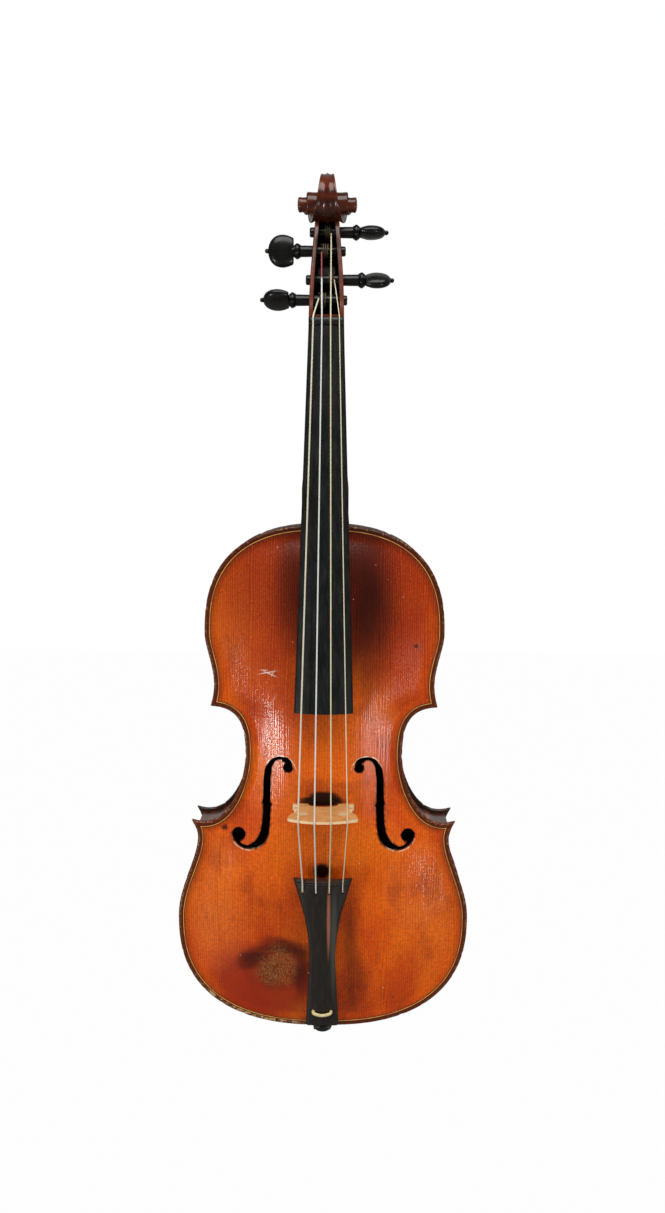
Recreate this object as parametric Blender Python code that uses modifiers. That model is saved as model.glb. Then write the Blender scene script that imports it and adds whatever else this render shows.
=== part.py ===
"""A baroque violin as separate pieces: plates, ribs, blocks, linings, neck, pegs, strings and fittings.

Sizes are in metres. The violin hangs upright, as from a wall hanger: Z runs along the strings towards
the scroll, the belly faces -Y, the bass side is at -X and the treble side at +X. The origin is the
point under the scroll, midway between the hanger's two arms.

Places on the violin are given the way a maker gives them: x across, s up from the body's lower edge,
and h out from the plane where the ribs meet the belly.
"""

import math

import bmesh
import bpy
import numpy as np
from mathutils import Vector
from mathutils.bvhtree import BVHTree

# Where the hanger holds the head
HANGER_BELOW_EYE = 0.0140
HANGER_DEPTH = 0.0160

# Gaps
GLUE_GAP = 0.0003
TURNING_GAP = 0.0003
STRING_GAP = 0.0003

# Body outline, half widths measured from the centre line
BODY_LENGTH = 0.355
LOWER_BOUT_HALF = 0.1015
LOWER_BOUT_RISE = 0.080
LOWER_BOUT_FULLNESS = 2.45
UPPER_BOUT_HALF = 0.0824
UPPER_BOUT_DROP = 0.0744
UPPER_BOUT_FULLNESS = 2.5
WAIST_HALF = 0.05435
WAIST_HEIGHT = 0.1955
LOWER_CORNER_HALF = 0.0896
LOWER_CORNER_HEIGHT = 0.1446
UPPER_CORNER_HALF = 0.0776
UPPER_CORNER_HEIGHT = 0.2330
CORNER_END = 0.0040

# Ribs, linings and blocks
RIB_HEIGHT = 0.0305
RIB_THICKNESS = 0.0012
OVERHANG = 0.0025
LINING_WIDTH = 0.0020
LINING_HEIGHT = 0.0075
LINING_END_GAP = 0.0010
END_BLOCK_HALF = 0.025
TOP_BLOCK_DEPTH = 0.017
BOTTOM_BLOCK_DEPTH = 0.015
CORNER_BLOCK_REACH = 0.024

# Plates
EDGE_THICKNESS = 0.0040
EDGE_WALL = 0.0030
PLATE_THICKNESS = 0.0030
CHANNEL_DEPTH = 0.0007
CHANNEL_INSET = 0.0064
ARCH_INSET = 0.0085
GLUING_WIDTH = 0.0072
BELLY_ARCH = 0.0154
BACK_ARCH = 0.0148
ARCH_FULLNESS = 0.85
RIDGE_CENTRE = 0.185
RIDGE_DROP = 0.27
SPINE_FOOT = 0.045
SPINE_HEAD = 0.045
PURFLING_INSET = 0.0029
PURFLING_WIDTH = 0.0014
PURFLING_DEPTH = 0.0011
BACK_BUTTON_HALF = 0.0105
BACK_BUTTON_REACH = 0.0130

# Sound holes, bass bar and sound post
EYE_UPPER = (0.0244, 0.1880)
EYE_UPPER_RADIUS = 0.0034
EYE_LOWER = (0.0575, 0.1405)
EYE_LOWER_RADIUS = 0.0047
STEM_HALF_WIDTH = 0.00245
BASS_BAR_X = -0.0175
BASS_BAR_LENGTH = 0.268
BASS_BAR_WIDTH = 0.0055
BASS_BAR_DEPTH = 0.0105
POST_X = 0.0195
POST_HEIGHT = 0.1550
POST_RADIUS = 0.0030
POST_END_GAP = 0.0006

# Neck, fingerboard and nut
NECK_LENGTH = 0.1325
NECK_ROOT_HALF = 0.0165
NECK_FOOT_HALF = 0.0100
NECK_PLANE_AT_BODY = 0.0110
NECK_PLANE_AT_NUT = 0.0046
NECK_DEPTH_AT_NUT = 0.0125
NUT_HALF = 0.0118
NUT_THICKNESS = 0.0055
NUT_TOP = 0.0110
NUT_REAR_DROP = 0.0012
FINGERBOARD_LENGTH = 0.257
FINGERBOARD_END_HALF = 0.0198
FINGERBOARD_RADIUS = 0.042
FINGERBOARD_TOP_AT_NUT = 0.0100
FINGERBOARD_TOP_AT_END = 0.0356
FINGERBOARD_EDGE_AT_END = 0.0050

# Pegbox and scroll
PEGBOX_WALL = 0.0040
PEGBOX_FLOOR = 0.0060
PEGBOX_FOOT = 0.0020
EYE_ABOVE_NUT = 0.0825
EYE_DEPTH = 0.0160
EYE_RADIUS = 0.0051
EYE_HALF = 0.0202
SCROLL_RIM_HALF = 0.0140
SCROLL_RADIUS = 0.0212
SCROLL_CREST_HALF = 0.0044
SCROLL_DECAY = math.radians(235)
SCROLL_SPREAD_TURN = math.radians(290)
EYE_RISE_START = math.radians(465)
EYE_RISE_END = math.radians(720)

# Pegs: how far above the nut each one lies, the side its head is on and how its head is turned
PEG_ABOVE_NUT = {"g": 0.0182, "e": 0.0320, "d": 0.0517, "a": 0.0648}
PEG_SIDES = {"g": -1, "e": 1, "d": -1, "a": 1}
PEG_TURNS = {"g": math.radians(65), "e": math.radians(-74), "d": 0.0, "a": math.radians(90)}
PEG_COLLAR = {"g": 0.0207, "e": 0.0212, "d": 0.0178, "a": 0.0174}
PEG_TAIL = {"g": 0.0139, "e": 0.0142, "d": 0.0127, "a": 0.0119}
PEG_BELOW_EDGE = 0.0095
PEG_RADIUS = 0.00385
PEG_END_RADIUS = 0.0033
PEG_COLLAR_RADIUS = 0.0053
PEG_COLLAR_LENGTH = 0.0048
PEG_HEAD_LENGTH = 0.0174
PEG_HEAD_HALF = 0.0109
PEG_HEAD_THICKNESS = 0.0095
PEG_PIP_RADIUS = 0.0016

# Strings, from the bass side to the treble side
STRING_NAMES = ("g", "d", "a", "e")
STRING_RADII = {"g": 0.00055, "d": 0.00050, "a": 0.00045, "e": 0.00035}
STRING_SPREAD_AT_NUT = 0.0174
STRING_SPREAD_AT_BRIDGE = 0.0327
STRING_SPREAD_AT_TAIL = 0.0274
WINDING_TURNS = 3
WINDING_GAP = 0.00045
WINDING_WALL_GAP = 0.0010

# Bridge
BODY_STOP = 0.1620
BRIDGE_HEIGHT = 0.0340
BRIDGE_CROWN_HALF = 0.0235
BRIDGE_FOOT_HALF = 0.0212
BRIDGE_CROWN_RADIUS = 0.044
BRIDGE_FOOT_THICKNESS = 0.0044
BRIDGE_TOP_THICKNESS = 0.0016

# Tailpiece, tail gut, saddle and end button
TAILPIECE_HEAD = 0.1145
TAILPIECE_FOOT = 0.0065
TAILPIECE_HEAD_HALF = 0.0203
TAILPIECE_WAIST_HALF = 0.0089
TAILPIECE_FOOT_HALF = 0.0115
TAILPIECE_THICKNESS = 0.0048
TAILPIECE_TOP_AT_HEAD = 0.0296
TAILPIECE_TOP_AT_FOOT = 0.0180
TAILPIECE_RADIUS = 0.040
TAIL_FRET_INSET = 0.0030
TAIL_FRET_WIDTH = 0.0018
TAIL_FRET_RISE = 0.0010
STRING_HOLE_INSET = 0.0090
STRING_HOLE_GAP = 0.0006
TAILGUT_RADIUS = 0.0011
TAILGUT_HOLE_HALF = 0.0062
TAILGUT_HOLE_HEIGHT = 0.0172
TAILGUT_GAP = 0.0005
TAILGUT_DIP = 0.0020
SADDLE_HALF = 0.0105
SADDLE_DEPTH = 0.0075
SADDLE_RISE = 0.0050
BUTTON_REACH = 0.0120
BUTTON_RADIUS = 0.0070
BUTTON_FACE_RADIUS = 0.0044
BUTTON_NECK_RADIUS = 0.0034
BUTTON_SHANK_RADIUS = 0.0040
BUTTON_SHANK_LENGTH = 0.0150

# Steps along the curves
LOWER_BOUT_STEPS = 8
RECURVE_STEPS = 4
CENTRE_BOUT_STEPS = 12
UPPER_BOUT_STEPS = 8
CURVE_FINENESS = 8
TURNED_STEPS = 16
PEG_STEPS = 12
WINDING_STEPS = 12

NUT_HEIGHT = BODY_LENGTH + NECK_LENGTH
EYE_HEIGHT = NUT_HEIGHT + EYE_ABOVE_NUT
HANGER_HEIGHT = EYE_HEIGHT - HANGER_BELOW_EYE
PEG_HEIGHTS = {name: NUT_HEIGHT + above for name, above in PEG_ABOVE_NUT.items()}
RIB_INNER = OVERHANG + RIB_THICKNESS
FRAME_INSET = RIB_INNER + GLUE_GAP


def clear_scene():
    for thing in list(bpy.data.objects):
        bpy.data.objects.remove(thing, do_unlink=True)


def new_collection(name):
    collection = bpy.data.collections.new(name)
    bpy.context.scene.collection.children.link(collection)
    return collection


def new_material(name, colour, roughness, metallic=0.0):
    material = bpy.data.materials.new(name)
    material.use_nodes = True
    shader = material.node_tree.nodes["Principled BSDF"]
    shader.inputs["Base Color"].default_value = (*colour, 1.0)
    shader.inputs["Roughness"].default_value = roughness
    shader.inputs["Metallic"].default_value = metallic
    return material


clear_scene()
PARTS = new_collection("violin")
CUTTERS = new_collection("violin_cutters")
BELLY_WOOD = new_material("varnished_spruce", (0.50, 0.13, 0.03), 0.35)
BODY_WOOD = new_material("varnished_maple", (0.30, 0.08, 0.02), 0.35)
INNER_WOOD = new_material("bare_spruce", (0.62, 0.45, 0.26), 0.7)
PURFLING_WOOD = new_material("purfling", (0.60, 0.28, 0.06), 0.5)
EBONY = new_material("ebony", (0.02, 0.018, 0.016), 0.3)
BRIDGE_WOOD = new_material("bare_maple", (0.65, 0.40, 0.18), 0.6)
GUT = new_material("gut", (0.80, 0.70, 0.50), 0.45)


def at(x, s, h):
    """The world point x across, s up from the body's lower edge and h out from the belly's plane."""
    return Vector((x, -(h + HANGER_DEPTH), s - HANGER_HEIGHT))


def finish(name, mesh, material, collection=PARTS):
    mesh.materials.clear()
    mesh.materials.append(material)
    thing = bpy.data.objects.new(name, mesh)
    collection.objects.link(thing)
    return thing


def mesh_from(name, points, faces):
    mesh = bpy.data.meshes.new(name)
    mesh.from_pydata([tuple(point) for point in points], [], [tuple(face) for face in faces])
    shape = bmesh.new()
    shape.from_mesh(mesh)
    bmesh.ops.remove_doubles(shape, verts=shape.verts, dist=1e-6)
    shape.to_mesh(mesh)
    shape.free()
    return mesh


def closed_solid(name, points, faces, material, collection=PARTS):
    """A closed mesh whose faces are turned outwards."""
    mesh = mesh_from(name, points, faces)
    shape = bmesh.new()
    shape.from_mesh(mesh)
    bmesh.ops.recalc_face_normals(shape, faces=shape.faces)
    if shape.calc_volume(signed=True) < 0:
        bmesh.ops.reverse_faces(shape, faces=shape.faces)
    shape.to_mesh(mesh)
    shape.free()
    return finish(name, mesh, material, collection)


def shade_round(thing, angle=35):
    thing.data.shade_smooth()
    thing.data.set_sharp_from_angle(angle=math.radians(angle))


def loft(name, sections, material, collection=PARTS):
    """A solid through cross-sections that have equally many points, with flat ends."""
    count = len(sections[0])
    points = [point for section in sections for point in section]
    faces = []
    for i in range(len(sections) - 1):
        for j in range(count):
            k = (j + 1) % count
            faces.append((i * count + j, i * count + k, (i + 1) * count + k, (i + 1) * count + j))
    faces.append(tuple(range(count)))
    last = (len(sections) - 1) * count
    faces.append(tuple(range(last, last + count)))
    return closed_solid(name, points, faces, material, collection)


def slab(name, outline, low, high, material, collection=PARTS):
    """A flat outline in x and s, thick from height low to height high."""
    return loft(name, [[at(x, s, low) for x, s in outline], [at(x, s, high) for x, s in outline]],
                material, collection)


def box(name, x, s, h, material, collection=PARTS):
    """A block between two values of x, of s and of h."""
    shape = bmesh.new()
    bmesh.ops.create_cube(shape, size=1.0)
    low = at(min(x), min(s), max(h))
    high = at(max(x), max(s), min(h))
    for vert in shape.verts:
        vert.co = Vector(low[i] + (high[i] - low[i]) * (vert.co[i] + 0.5) for i in range(3))
    mesh = bpy.data.meshes.new(name)
    shape.to_mesh(mesh)
    shape.free()
    return finish(name, mesh, material, collection)


def hide_cutter(thing):
    thing.hide_render = True
    thing.display_type = "WIRE"
    return thing


def cut(thing, cutter, operation="DIFFERENCE"):
    modifier = thing.modifiers.new(operation.lower() + "_" + cutter.name, "BOOLEAN")
    modifier.operation = operation
    modifier.object = cutter
    modifier.solver = "EXACT"


def turned(name, profile, material, collection=PARTS, steps=TURNED_STEPS):
    """A turned piece: a profile of (radius, distance) pairs swept round the piece's own Z axis."""
    mesh = bpy.data.meshes.new(name)
    points = [(radius, 0, distance) for radius, distance in profile]
    mesh.from_pydata(points, [(i, i + 1) for i in range(len(points) - 1)], [])
    thing = finish(name, mesh, material, collection)
    screw = thing.modifiers.new("turning", "SCREW")
    screw.steps = steps
    screw.render_steps = steps
    screw.use_merge_vertices = True
    screw.merge_threshold = 0.00001
    screw.use_smooth_shade = True
    return thing


def tube(name, points, radius, material, closed=False, resolution=2):
    """A round tube through the points."""
    curve = bpy.data.curves.new(name, "CURVE")
    curve.dimensions = "3D"
    curve.bevel_depth = radius
    curve.bevel_resolution = resolution
    curve.use_fill_caps = not closed
    spline = curve.splines.new("POLY")
    spline.points.add(len(points) - 1)
    for knot, point in zip(spline.points, points):
        knot.co = (*point, 1.0)
    spline.use_cyclic_u = closed
    curve.materials.append(material)
    thing = bpy.data.objects.new(name, curve)
    PARTS.objects.link(thing)
    return thing


# The body's outline


def hermite(start, leaving, end, arriving, steps):
    """Points on the cubic that leaves one point and reaches another with the given velocities."""
    u = np.linspace(0, 1, steps + 1)[:, None]
    return ((2 * u**3 - 3 * u**2 + 1) * np.array(start) + (u**3 - 2 * u**2 + u) * np.array(leaving)
            + (3 * u**2 - 2 * u**3) * np.array(end) + (u**3 - u**2) * np.array(arriving))


def bout(half, rise, fullness, steps):
    """A quarter of a superellipse, from the centre line to the widest point, measured from its end."""
    u = np.linspace(0, np.pi / 2, steps + 1)
    return np.c_[half * np.sin(u) ** (2 / fullness), rise * (1 - np.cos(u) ** (2 / fullness))]


def heading(speed, angle):
    """A velocity whose angle is counted from straight up, positive towards the outside."""
    return (speed * math.sin(angle), speed * math.cos(angle))


def half_outline(fineness):
    """The treble half of the outline, from the bottom centre to the top centre, in three stretches."""
    bout_steps = fineness * LOWER_BOUT_STEPS
    recurve_steps = fineness * RECURVE_STEPS
    waist_steps = fineness * CENTRE_BOUT_STEPS // 2
    crown_steps = fineness * UPPER_BOUT_STEPS
    lower_tip = (LOWER_CORNER_HALF, LOWER_CORNER_HEIGHT)
    upper_tip = (UPPER_CORNER_HALF, UPPER_CORNER_HEIGHT)
    lower_inner = (lower_tip[0] - CORNER_END * 0.1, lower_tip[1] + CORNER_END)
    upper_inner = (upper_tip[0] - CORNER_END * 0.2, upper_tip[1] - CORNER_END * 0.9)
    waist = (WAIST_HALF, WAIST_HEIGHT)
    lower_rise = LOWER_CORNER_HEIGHT - LOWER_BOUT_RISE
    upper_drop = BODY_LENGTH - UPPER_BOUT_DROP - UPPER_CORNER_HEIGHT
    below_waist = WAIST_HEIGHT - lower_inner[1]
    above_waist = upper_inner[1] - WAIST_HEIGHT

    widest = (LOWER_BOUT_HALF, LOWER_BOUT_RISE)
    lower = np.vstack([
        bout(LOWER_BOUT_HALF, LOWER_BOUT_RISE, LOWER_BOUT_FULLNESS, bout_steps)[:-1],
        hermite(widest, heading(1.16 * lower_rise, 0), lower_tip,
                heading(0.72 * lower_rise, math.radians(33)), recurve_steps)])
    centre = np.vstack([
        hermite(lower_inner, heading(-1.67 * below_waist, math.radians(75)), waist,
                heading(0.96 * below_waist, 0), waist_steps)[:-1],
        hermite(waist, heading(1.44 * above_waist, 0), upper_inner,
                heading(1.83 * above_waist, math.radians(86.5)), waist_steps)])
    widest = (UPPER_BOUT_HALF, BODY_LENGTH - UPPER_BOUT_DROP)
    crown = bout(UPPER_BOUT_HALF, UPPER_BOUT_DROP, UPPER_BOUT_FULLNESS, crown_steps)[::-1]
    crown[:, 1] = BODY_LENGTH - crown[:, 1]
    upper = np.vstack([
        hermite(upper_tip, heading(1.22 * upper_drop, math.radians(-16)), widest,
                heading(0.79 * upper_drop, 0), recurve_steps)[:-1],
        crown])
    return {"lower": lower, "centre": centre, "upper": upper}


def lengths_along(line):
    return np.r_[0, np.cumsum(np.hypot(*np.diff(line, axis=0).T))]


def resampled(line, fractions):
    """Points at the given fractions of the line's length."""
    along = lengths_along(line)
    wanted = np.asarray(fractions) * along[-1]
    return np.c_[np.interp(wanted, along, line[:, 0]), np.interp(wanted, along, line[:, 1])]


def shifted(line, inset):
    """The line moved inwards, towards its left-hand side, by the inset."""
    ahead = np.vstack([line[1:], line[-1:]])
    behind = np.vstack([line[:1], line[:-1]])
    tangent = ahead - behind
    tangent /= np.hypot(*tangent.T)[:, None]
    return line + inset * np.c_[-tangent[:, 1], tangent[:, 0]]


def stretched(line, reach):
    """The line with a straight piece added at each end, along its own direction there."""
    first = line[0] + (line[0] - line[1]) / np.hypot(*(line[0] - line[1])) * reach
    last = line[-1] + (line[-1] - line[-2]) / np.hypot(*(line[-1] - line[-2])) * reach
    return np.vstack([first, line, last])


def crossing(one, other):
    """How far along the first line, in its own length, it meets the second."""
    start, end = one[:-1, None], one[1:, None]
    from_, to = other[None, :-1], other[None, 1:]
    along = end - start
    across = to - from_
    gap = from_ - start
    turn = along[..., 0] * across[..., 1] - along[..., 1] * across[..., 0]
    turn = np.where(np.abs(turn) < 1e-15, 1e-15, turn)
    t = (gap[..., 0] * across[..., 1] - gap[..., 1] * across[..., 0]) / turn
    u = (gap[..., 0] * along[..., 1] - gap[..., 1] * along[..., 0]) / turn
    i, j = np.argwhere((t >= 0) & (t <= 1) & (u >= 0) & (u <= 1))[0]
    lengths = lengths_along(one)
    return lengths[i] + t[i, j] * (lengths[i + 1] - lengths[i])


OUTLINE = half_outline(CURVE_FINENESS)
EDGE = half_outline(1)
CORNER_REACH = 0.006


def stretch_between(name, inset, start_inset, end_inset):
    """One stretch of the outline at an inset, ended where its neighbours at their own insets cross it.

    It has as many points as the edge's own stretch, spaced in the same shares of its length.
    """
    line = shifted(OUTLINE[name], inset)
    if name == "lower":
        line[0, 0] = 0
    if name == "upper":
        line[-1, 0] = 0
    before = {"centre": "lower", "upper": "centre"}.get(name)
    after = {"lower": "centre", "centre": "upper"}.get(name)
    whole = stretched(line, CORNER_REACH)
    low = CORNER_REACH
    high = lengths_along(whole)[-1] - CORNER_REACH
    if before:
        low = crossing(whole, stretched(shifted(OUTLINE[before], start_inset), CORNER_REACH))
    if after:
        high = crossing(whole, stretched(shifted(OUTLINE[after], end_inset), CORNER_REACH))
    total = lengths_along(whole)[-1]
    along = lengths_along(EDGE[name])
    fractions = (low + (high - low) * along / along[-1]) / total
    return resampled(whole, fractions)


def rib_line(name, inset):
    """One stretch at an inset, with its points abreast of the ribs' own."""
    return stretch_between(name, inset, OVERHANG, OVERHANG)


def cut_short(line, name, inset):
    """The line ended where the stretches beside it, at their own inset, cross it."""
    low = 0
    high = lengths_along(line)[-1]
    if name != "lower":
        beside = rib_line({"centre": "lower", "upper": "centre"}[name], inset)
        low = crossing(line, stretched(beside, CORNER_REACH))
    if name != "upper":
        beside = rib_line({"lower": "centre", "centre": "upper"}[name], inset)
        high = crossing(line, stretched(beside, CORNER_REACH))
    return part_of(line, low, high)


def half_ring(inset):
    """The whole treble half at one inset, as one line."""
    if inset == 0:
        return np.vstack(list(EDGE.values()))
    return np.vstack([stretch_between(name, inset, inset, inset) for name in EDGE])


def part_of(line, start, end):
    """The stretch of a line between two distances along it, keeping the bends that lie between."""
    along = lengths_along(line)
    inner = line[(along > start + 1e-6) & (along < end - 1e-6)]
    ends = resampled(line, [start / along[-1], end / along[-1]])
    return np.vstack([ends[:1], inner, ends[1:]])


def mirrored(line):
    return np.c_[-line[:, 0], line[:, 1]]


# The arched plates


def spine_heights():
    """For each point of the half outline, where on the centre line the arching over it ends."""
    head = BODY_LENGTH - SPINE_HEAD
    lower_corner = LOWER_CORNER_HEIGHT - 0.027
    upper_corner = UPPER_CORNER_HEIGHT + 0.025
    lower = np.interp(EDGE["lower"][:, 1], [0, LOWER_BOUT_RISE, LOWER_CORNER_HEIGHT],
                      [SPINE_FOOT, LOWER_BOUT_RISE - 0.002, lower_corner])
    along = lengths_along(EDGE["centre"])
    centre = lower_corner + (upper_corner - lower_corner) * along / along[-1]
    upper = np.interp(EDGE["upper"][:, 1],
                      [UPPER_CORNER_HEIGHT, BODY_LENGTH - UPPER_BOUT_DROP, BODY_LENGTH],
                      [upper_corner, BODY_LENGTH - UPPER_BOUT_DROP, head])
    return np.concatenate([lower, centre, upper])


def plate_rows(arch):
    """Rows of (x, s, h) points from the middle of the outer face, over the edge, to the inner face."""
    spine = spine_heights()
    reach = RIDGE_CENTRE - SPINE_FOOT
    ridge = arch * (1 - RIDGE_DROP * np.abs((spine - RIDGE_CENTRE) / reach) ** 2.2)
    channel = EDGE_THICKNESS - CHANNEL_DEPTH
    start = half_ring(ARCH_INSET)
    middle = np.c_[np.zeros(len(spine)), spine]

    def arched(share):
        rise = (1 - math.cos(math.pi * share**ARCH_FULLNESS)) / 2
        place = start + (middle - start) * share
        return place, channel + (ridge - channel) * rise

    def level(inset, height):
        return half_ring(inset), np.full(len(spine), height)

    groove = (PURFLING_INSET - GLUE_GAP, PURFLING_INSET + PURFLING_WIDTH + GLUE_GAP)
    groove_floor = EDGE_THICKNESS - PURFLING_DEPTH - GLUE_GAP
    shares = (1.0, 0.78, 0.56, 0.36, 0.18, 0.0)
    rows = [arched(share) for share in shares]
    rows += [level(CHANNEL_INSET, channel), level(groove[1], EDGE_THICKNESS - 0.0001),
             level(groove[1], groove_floor), level(groove[0], groove_floor),
             level(groove[0], EDGE_THICKNESS), level(0, EDGE_WALL), level(0, 0),
             level(GLUING_WIDTH, 0)]
    for share in (0.0, 0.15, 0.4, 0.7, 1.0):
        place, height = arched(share)
        rows.append((place, np.maximum(height - PLATE_THICKNESS, 0.0001 * share)))
    return [np.c_[place, height] for place, height in rows]


def half_shell(name, rows, back, material):
    """A strip of faces between successive rows, open at the centre line, and its mirror image."""
    count = len(rows[0])
    points = []
    for row in rows:
        for x, s, h in row:
            points.append(at(x, s, -RIB_HEIGHT - h if back else h))
    faces = []
    for i in range(len(rows) - 1):
        for j in range(count - 1):
            face = (i * count + j, (i + 1) * count + j, (i + 1) * count + j + 1, i * count + j + 1)
            faces.append(face[::-1] if back else face)
    thing = finish(name, mesh_from(name, points, faces), material)
    mirror = thing.modifiers.new("other_half", "MIRROR")
    mirror.merge_threshold = 0.00001
    return thing


def make_purfling(name, back):
    """The inlaid strip, a closed ring that follows the edge."""
    outer = half_ring(PURFLING_INSET)
    inner = half_ring(PURFLING_INSET + PURFLING_WIDTH)
    high = EDGE_THICKNESS - 0.0001
    low = EDGE_THICKNESS - PURFLING_DEPTH
    rows = [np.c_[line, np.full(len(line), height)]
            for line, height in ((inner, high), (outer, high), (outer, low), (inner, low), (inner, high))]
    return half_shell(name, rows, back, PURFLING_WOOD)


def smooth_line(knots, steps):
    """A smooth line through the knots, which may carry more numbers than x and s."""
    knots = np.array(knots, float)
    slopes = np.gradient(knots, axis=0)
    pieces = [hermite(knots[i], slopes[i], knots[i + 1], slopes[i + 1], steps)[:-1]
              for i in range(len(knots) - 1)]
    return np.vstack(pieces + [knots[-1:]])


def sound_hole_line():
    """The middle of the sound hole's stem and its half width, from the upper eye to the lower one."""
    upper = np.array(EYE_UPPER)
    lower = np.array(EYE_LOWER)
    stem = STEM_HALF_WIDTH
    stem_x = (EYE_UPPER[0] + EYE_LOWER[0]) / 2 - 0.0020
    bend = EYE_UPPER_RADIUS
    bow = EYE_LOWER_RADIUS
    knots = [
        (upper[0] + 0.1 * bend, upper[1] + 0.62 * bend, 0.35 * stem),
        (upper[0] + 1.0 * bend, upper[1] + 1.75 * bend, 0.40 * stem),
        (upper[0] + 2.1 * bend, upper[1] + 2.0 * bend, 0.55 * stem),
        (stem_x - 0.8 * bend, upper[1] + 0.95 * bend, 0.85 * stem),
        (stem_x, upper[1] - 1.6 * bend, stem),
        (stem_x, (upper[1] + lower[1]) / 2, stem),
        (stem_x + 0.20 * bow, lower[1] + 1.6 * bow, 1.05 * stem),
        (stem_x + 0.65 * bow, lower[1] - 0.35 * bow, 1.05 * stem),
        (lower[0] - 2.1 * bow, lower[1] - 1.55 * bow, 0.75 * stem),
        (lower[0] - 0.95 * bow, lower[1] - 1.75 * bow, 0.50 * stem),
        (lower[0] + 0.1 * bow, lower[1] - 1.15 * bow, 0.45 * stem),
        (lower[0] + 0.55 * bow, lower[1] - 0.5 * bow, 0.40 * stem),
    ]
    return smooth_line(knots, 3)


def both_sides(name, outline, low, high):
    """A cutter with the outline and its mirror image, as two bodies in one mesh."""
    thing = slab(name, outline, low, high, EBONY, CUTTERS)
    shape = bmesh.new()
    shape.from_mesh(thing.data)
    copy = bmesh.ops.duplicate(shape, geom=shape.verts[:] + shape.edges[:] + shape.faces[:])
    for item in copy["geom"]:
        if isinstance(item, bmesh.types.BMVert):
            item.co.x = -item.co.x
    new_faces = [item for item in copy["geom"] if isinstance(item, bmesh.types.BMFace)]
    bmesh.ops.reverse_faces(shape, faces=new_faces)
    shape.to_mesh(thing.data)
    shape.free()
    return hide_cutter(thing)


def circle(centre, radius, steps=16):
    u = np.linspace(0, 2 * np.pi, steps, endpoint=False)
    return np.c_[centre[0] + radius * np.cos(u), centre[1] + radius * np.sin(u)]


def cut_sound_holes(belly):
    line = sound_hole_line()
    normal_line = np.gradient(line[:, :2], axis=0)
    normal_line /= np.hypot(*normal_line.T)[:, None]
    normals = np.c_[-normal_line[:, 1], normal_line[:, 0]] * line[:, 2:]
    stem = np.vstack([line[:, :2] + normals, (line[:, :2] - normals)[::-1]])
    low = -0.002
    high = BELLY_ARCH + 0.004
    for name, outline in (("sound_hole_stem", stem),
                          ("sound_hole_upper_eye", circle(EYE_UPPER, EYE_UPPER_RADIUS)),
                          ("sound_hole_lower_eye", circle(EYE_LOWER, EYE_LOWER_RADIUS))):
        cut(belly, both_sides(name, outline, low, high))


def make_plates():
    belly = half_shell("top_plate", plate_rows(BELLY_ARCH), False, BELLY_WOOD)
    back = half_shell("back_plate", plate_rows(BACK_ARCH), True, BODY_WOOD)
    cut_sound_holes(belly)
    neck_notch = box("neck_notch", (-NECK_ROOT_HALF - GLUE_GAP, NECK_ROOT_HALF + GLUE_GAP),
                     (BODY_LENGTH - OVERHANG, BODY_LENGTH + 0.01), (-0.002, 0.02), EBONY, CUTTERS)
    cut(belly, hide_cutter(neck_notch))
    saddle_notch = box("saddle_notch", (-SADDLE_HALF - GLUE_GAP, SADDLE_HALF + GLUE_GAP),
                       (-0.01, SADDLE_DEPTH + GLUE_GAP), (-0.002, 0.02), EBONY, CUTTERS)
    cut(belly, hide_cutter(saddle_notch))
    u = np.linspace(0, np.pi, 13)
    radius_s = BACK_BUTTON_REACH - 0.003
    lobe = np.c_[BACK_BUTTON_HALF * np.cos(u), BODY_LENGTH + 0.003 + radius_s * np.sin(u)]
    root = BODY_LENGTH - PURFLING_INSET + 2 * GLUE_GAP
    lobe = np.vstack([[(BACK_BUTTON_HALF, root)], lobe, [(-BACK_BUTTON_HALF, root)]])
    button = slab("back_button_lobe", lobe, -RIB_HEIGHT - 0.0002,
                  -RIB_HEIGHT - EDGE_THICKNESS + 0.0003, BODY_WOOD, CUTTERS)
    cut(back, hide_cutter(button), "UNION")
    make_purfling("top_purfling", False)
    make_purfling("back_purfling", True)
    notch_purfling = bpy.data.objects["top_purfling"]
    cut(notch_purfling, saddle_notch)
    for thing in (belly, back):
        shade_round(thing)
    return belly, back


# Ribs, linings and blocks


def strip(name, outer, inner, low, high, material):
    outline = np.vstack([outer, inner[::-1]])
    return slab(name, outline, low, high, material)


def make_ribs():
    """Three ribs a side. The middle one runs to the corners and the others butt against it."""
    low = -RIB_HEIGHT + GLUE_GAP
    high = -GLUE_GAP
    radius = BUTTON_SHANK_RADIUS + GLUE_GAP
    bore = turned("button_bore", [(0, 0.05), (radius, 0.05), (radius, -0.01), (0, -0.01)], EBONY, CUTTERS)
    bore.location = button_face()
    hide_cutter(bore)
    for side, sign in (("treble", 1), ("bass", -1)):
        for name in OUTLINE:
            lines = [rib_line(name, inset) for inset in (OVERHANG, RIB_INNER)]
            if name != "centre":
                lines = [cut_short(line, name, FRAME_INSET) for line in lines]
            if name == "lower":
                lines = [part_of(line, GLUE_GAP / 2, lengths_along(line)[-1]) for line in lines]
            if name == "upper":
                lines = [part_of(line, 0, lengths_along(line)[-1] - GLUE_GAP / 2) for line in lines]
            lines = [line if sign > 0 else mirrored(line) for line in lines]
            title = {"lower": "lower_rib_", "centre": "c_rib_", "upper": "upper_rib_"}[name]
            rib = strip(title + side, lines[0], lines[1], low, high, BODY_WOOD)
            if name == "lower":
                cut(rib, bore)
            shade_round(rib)
    return bore


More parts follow.
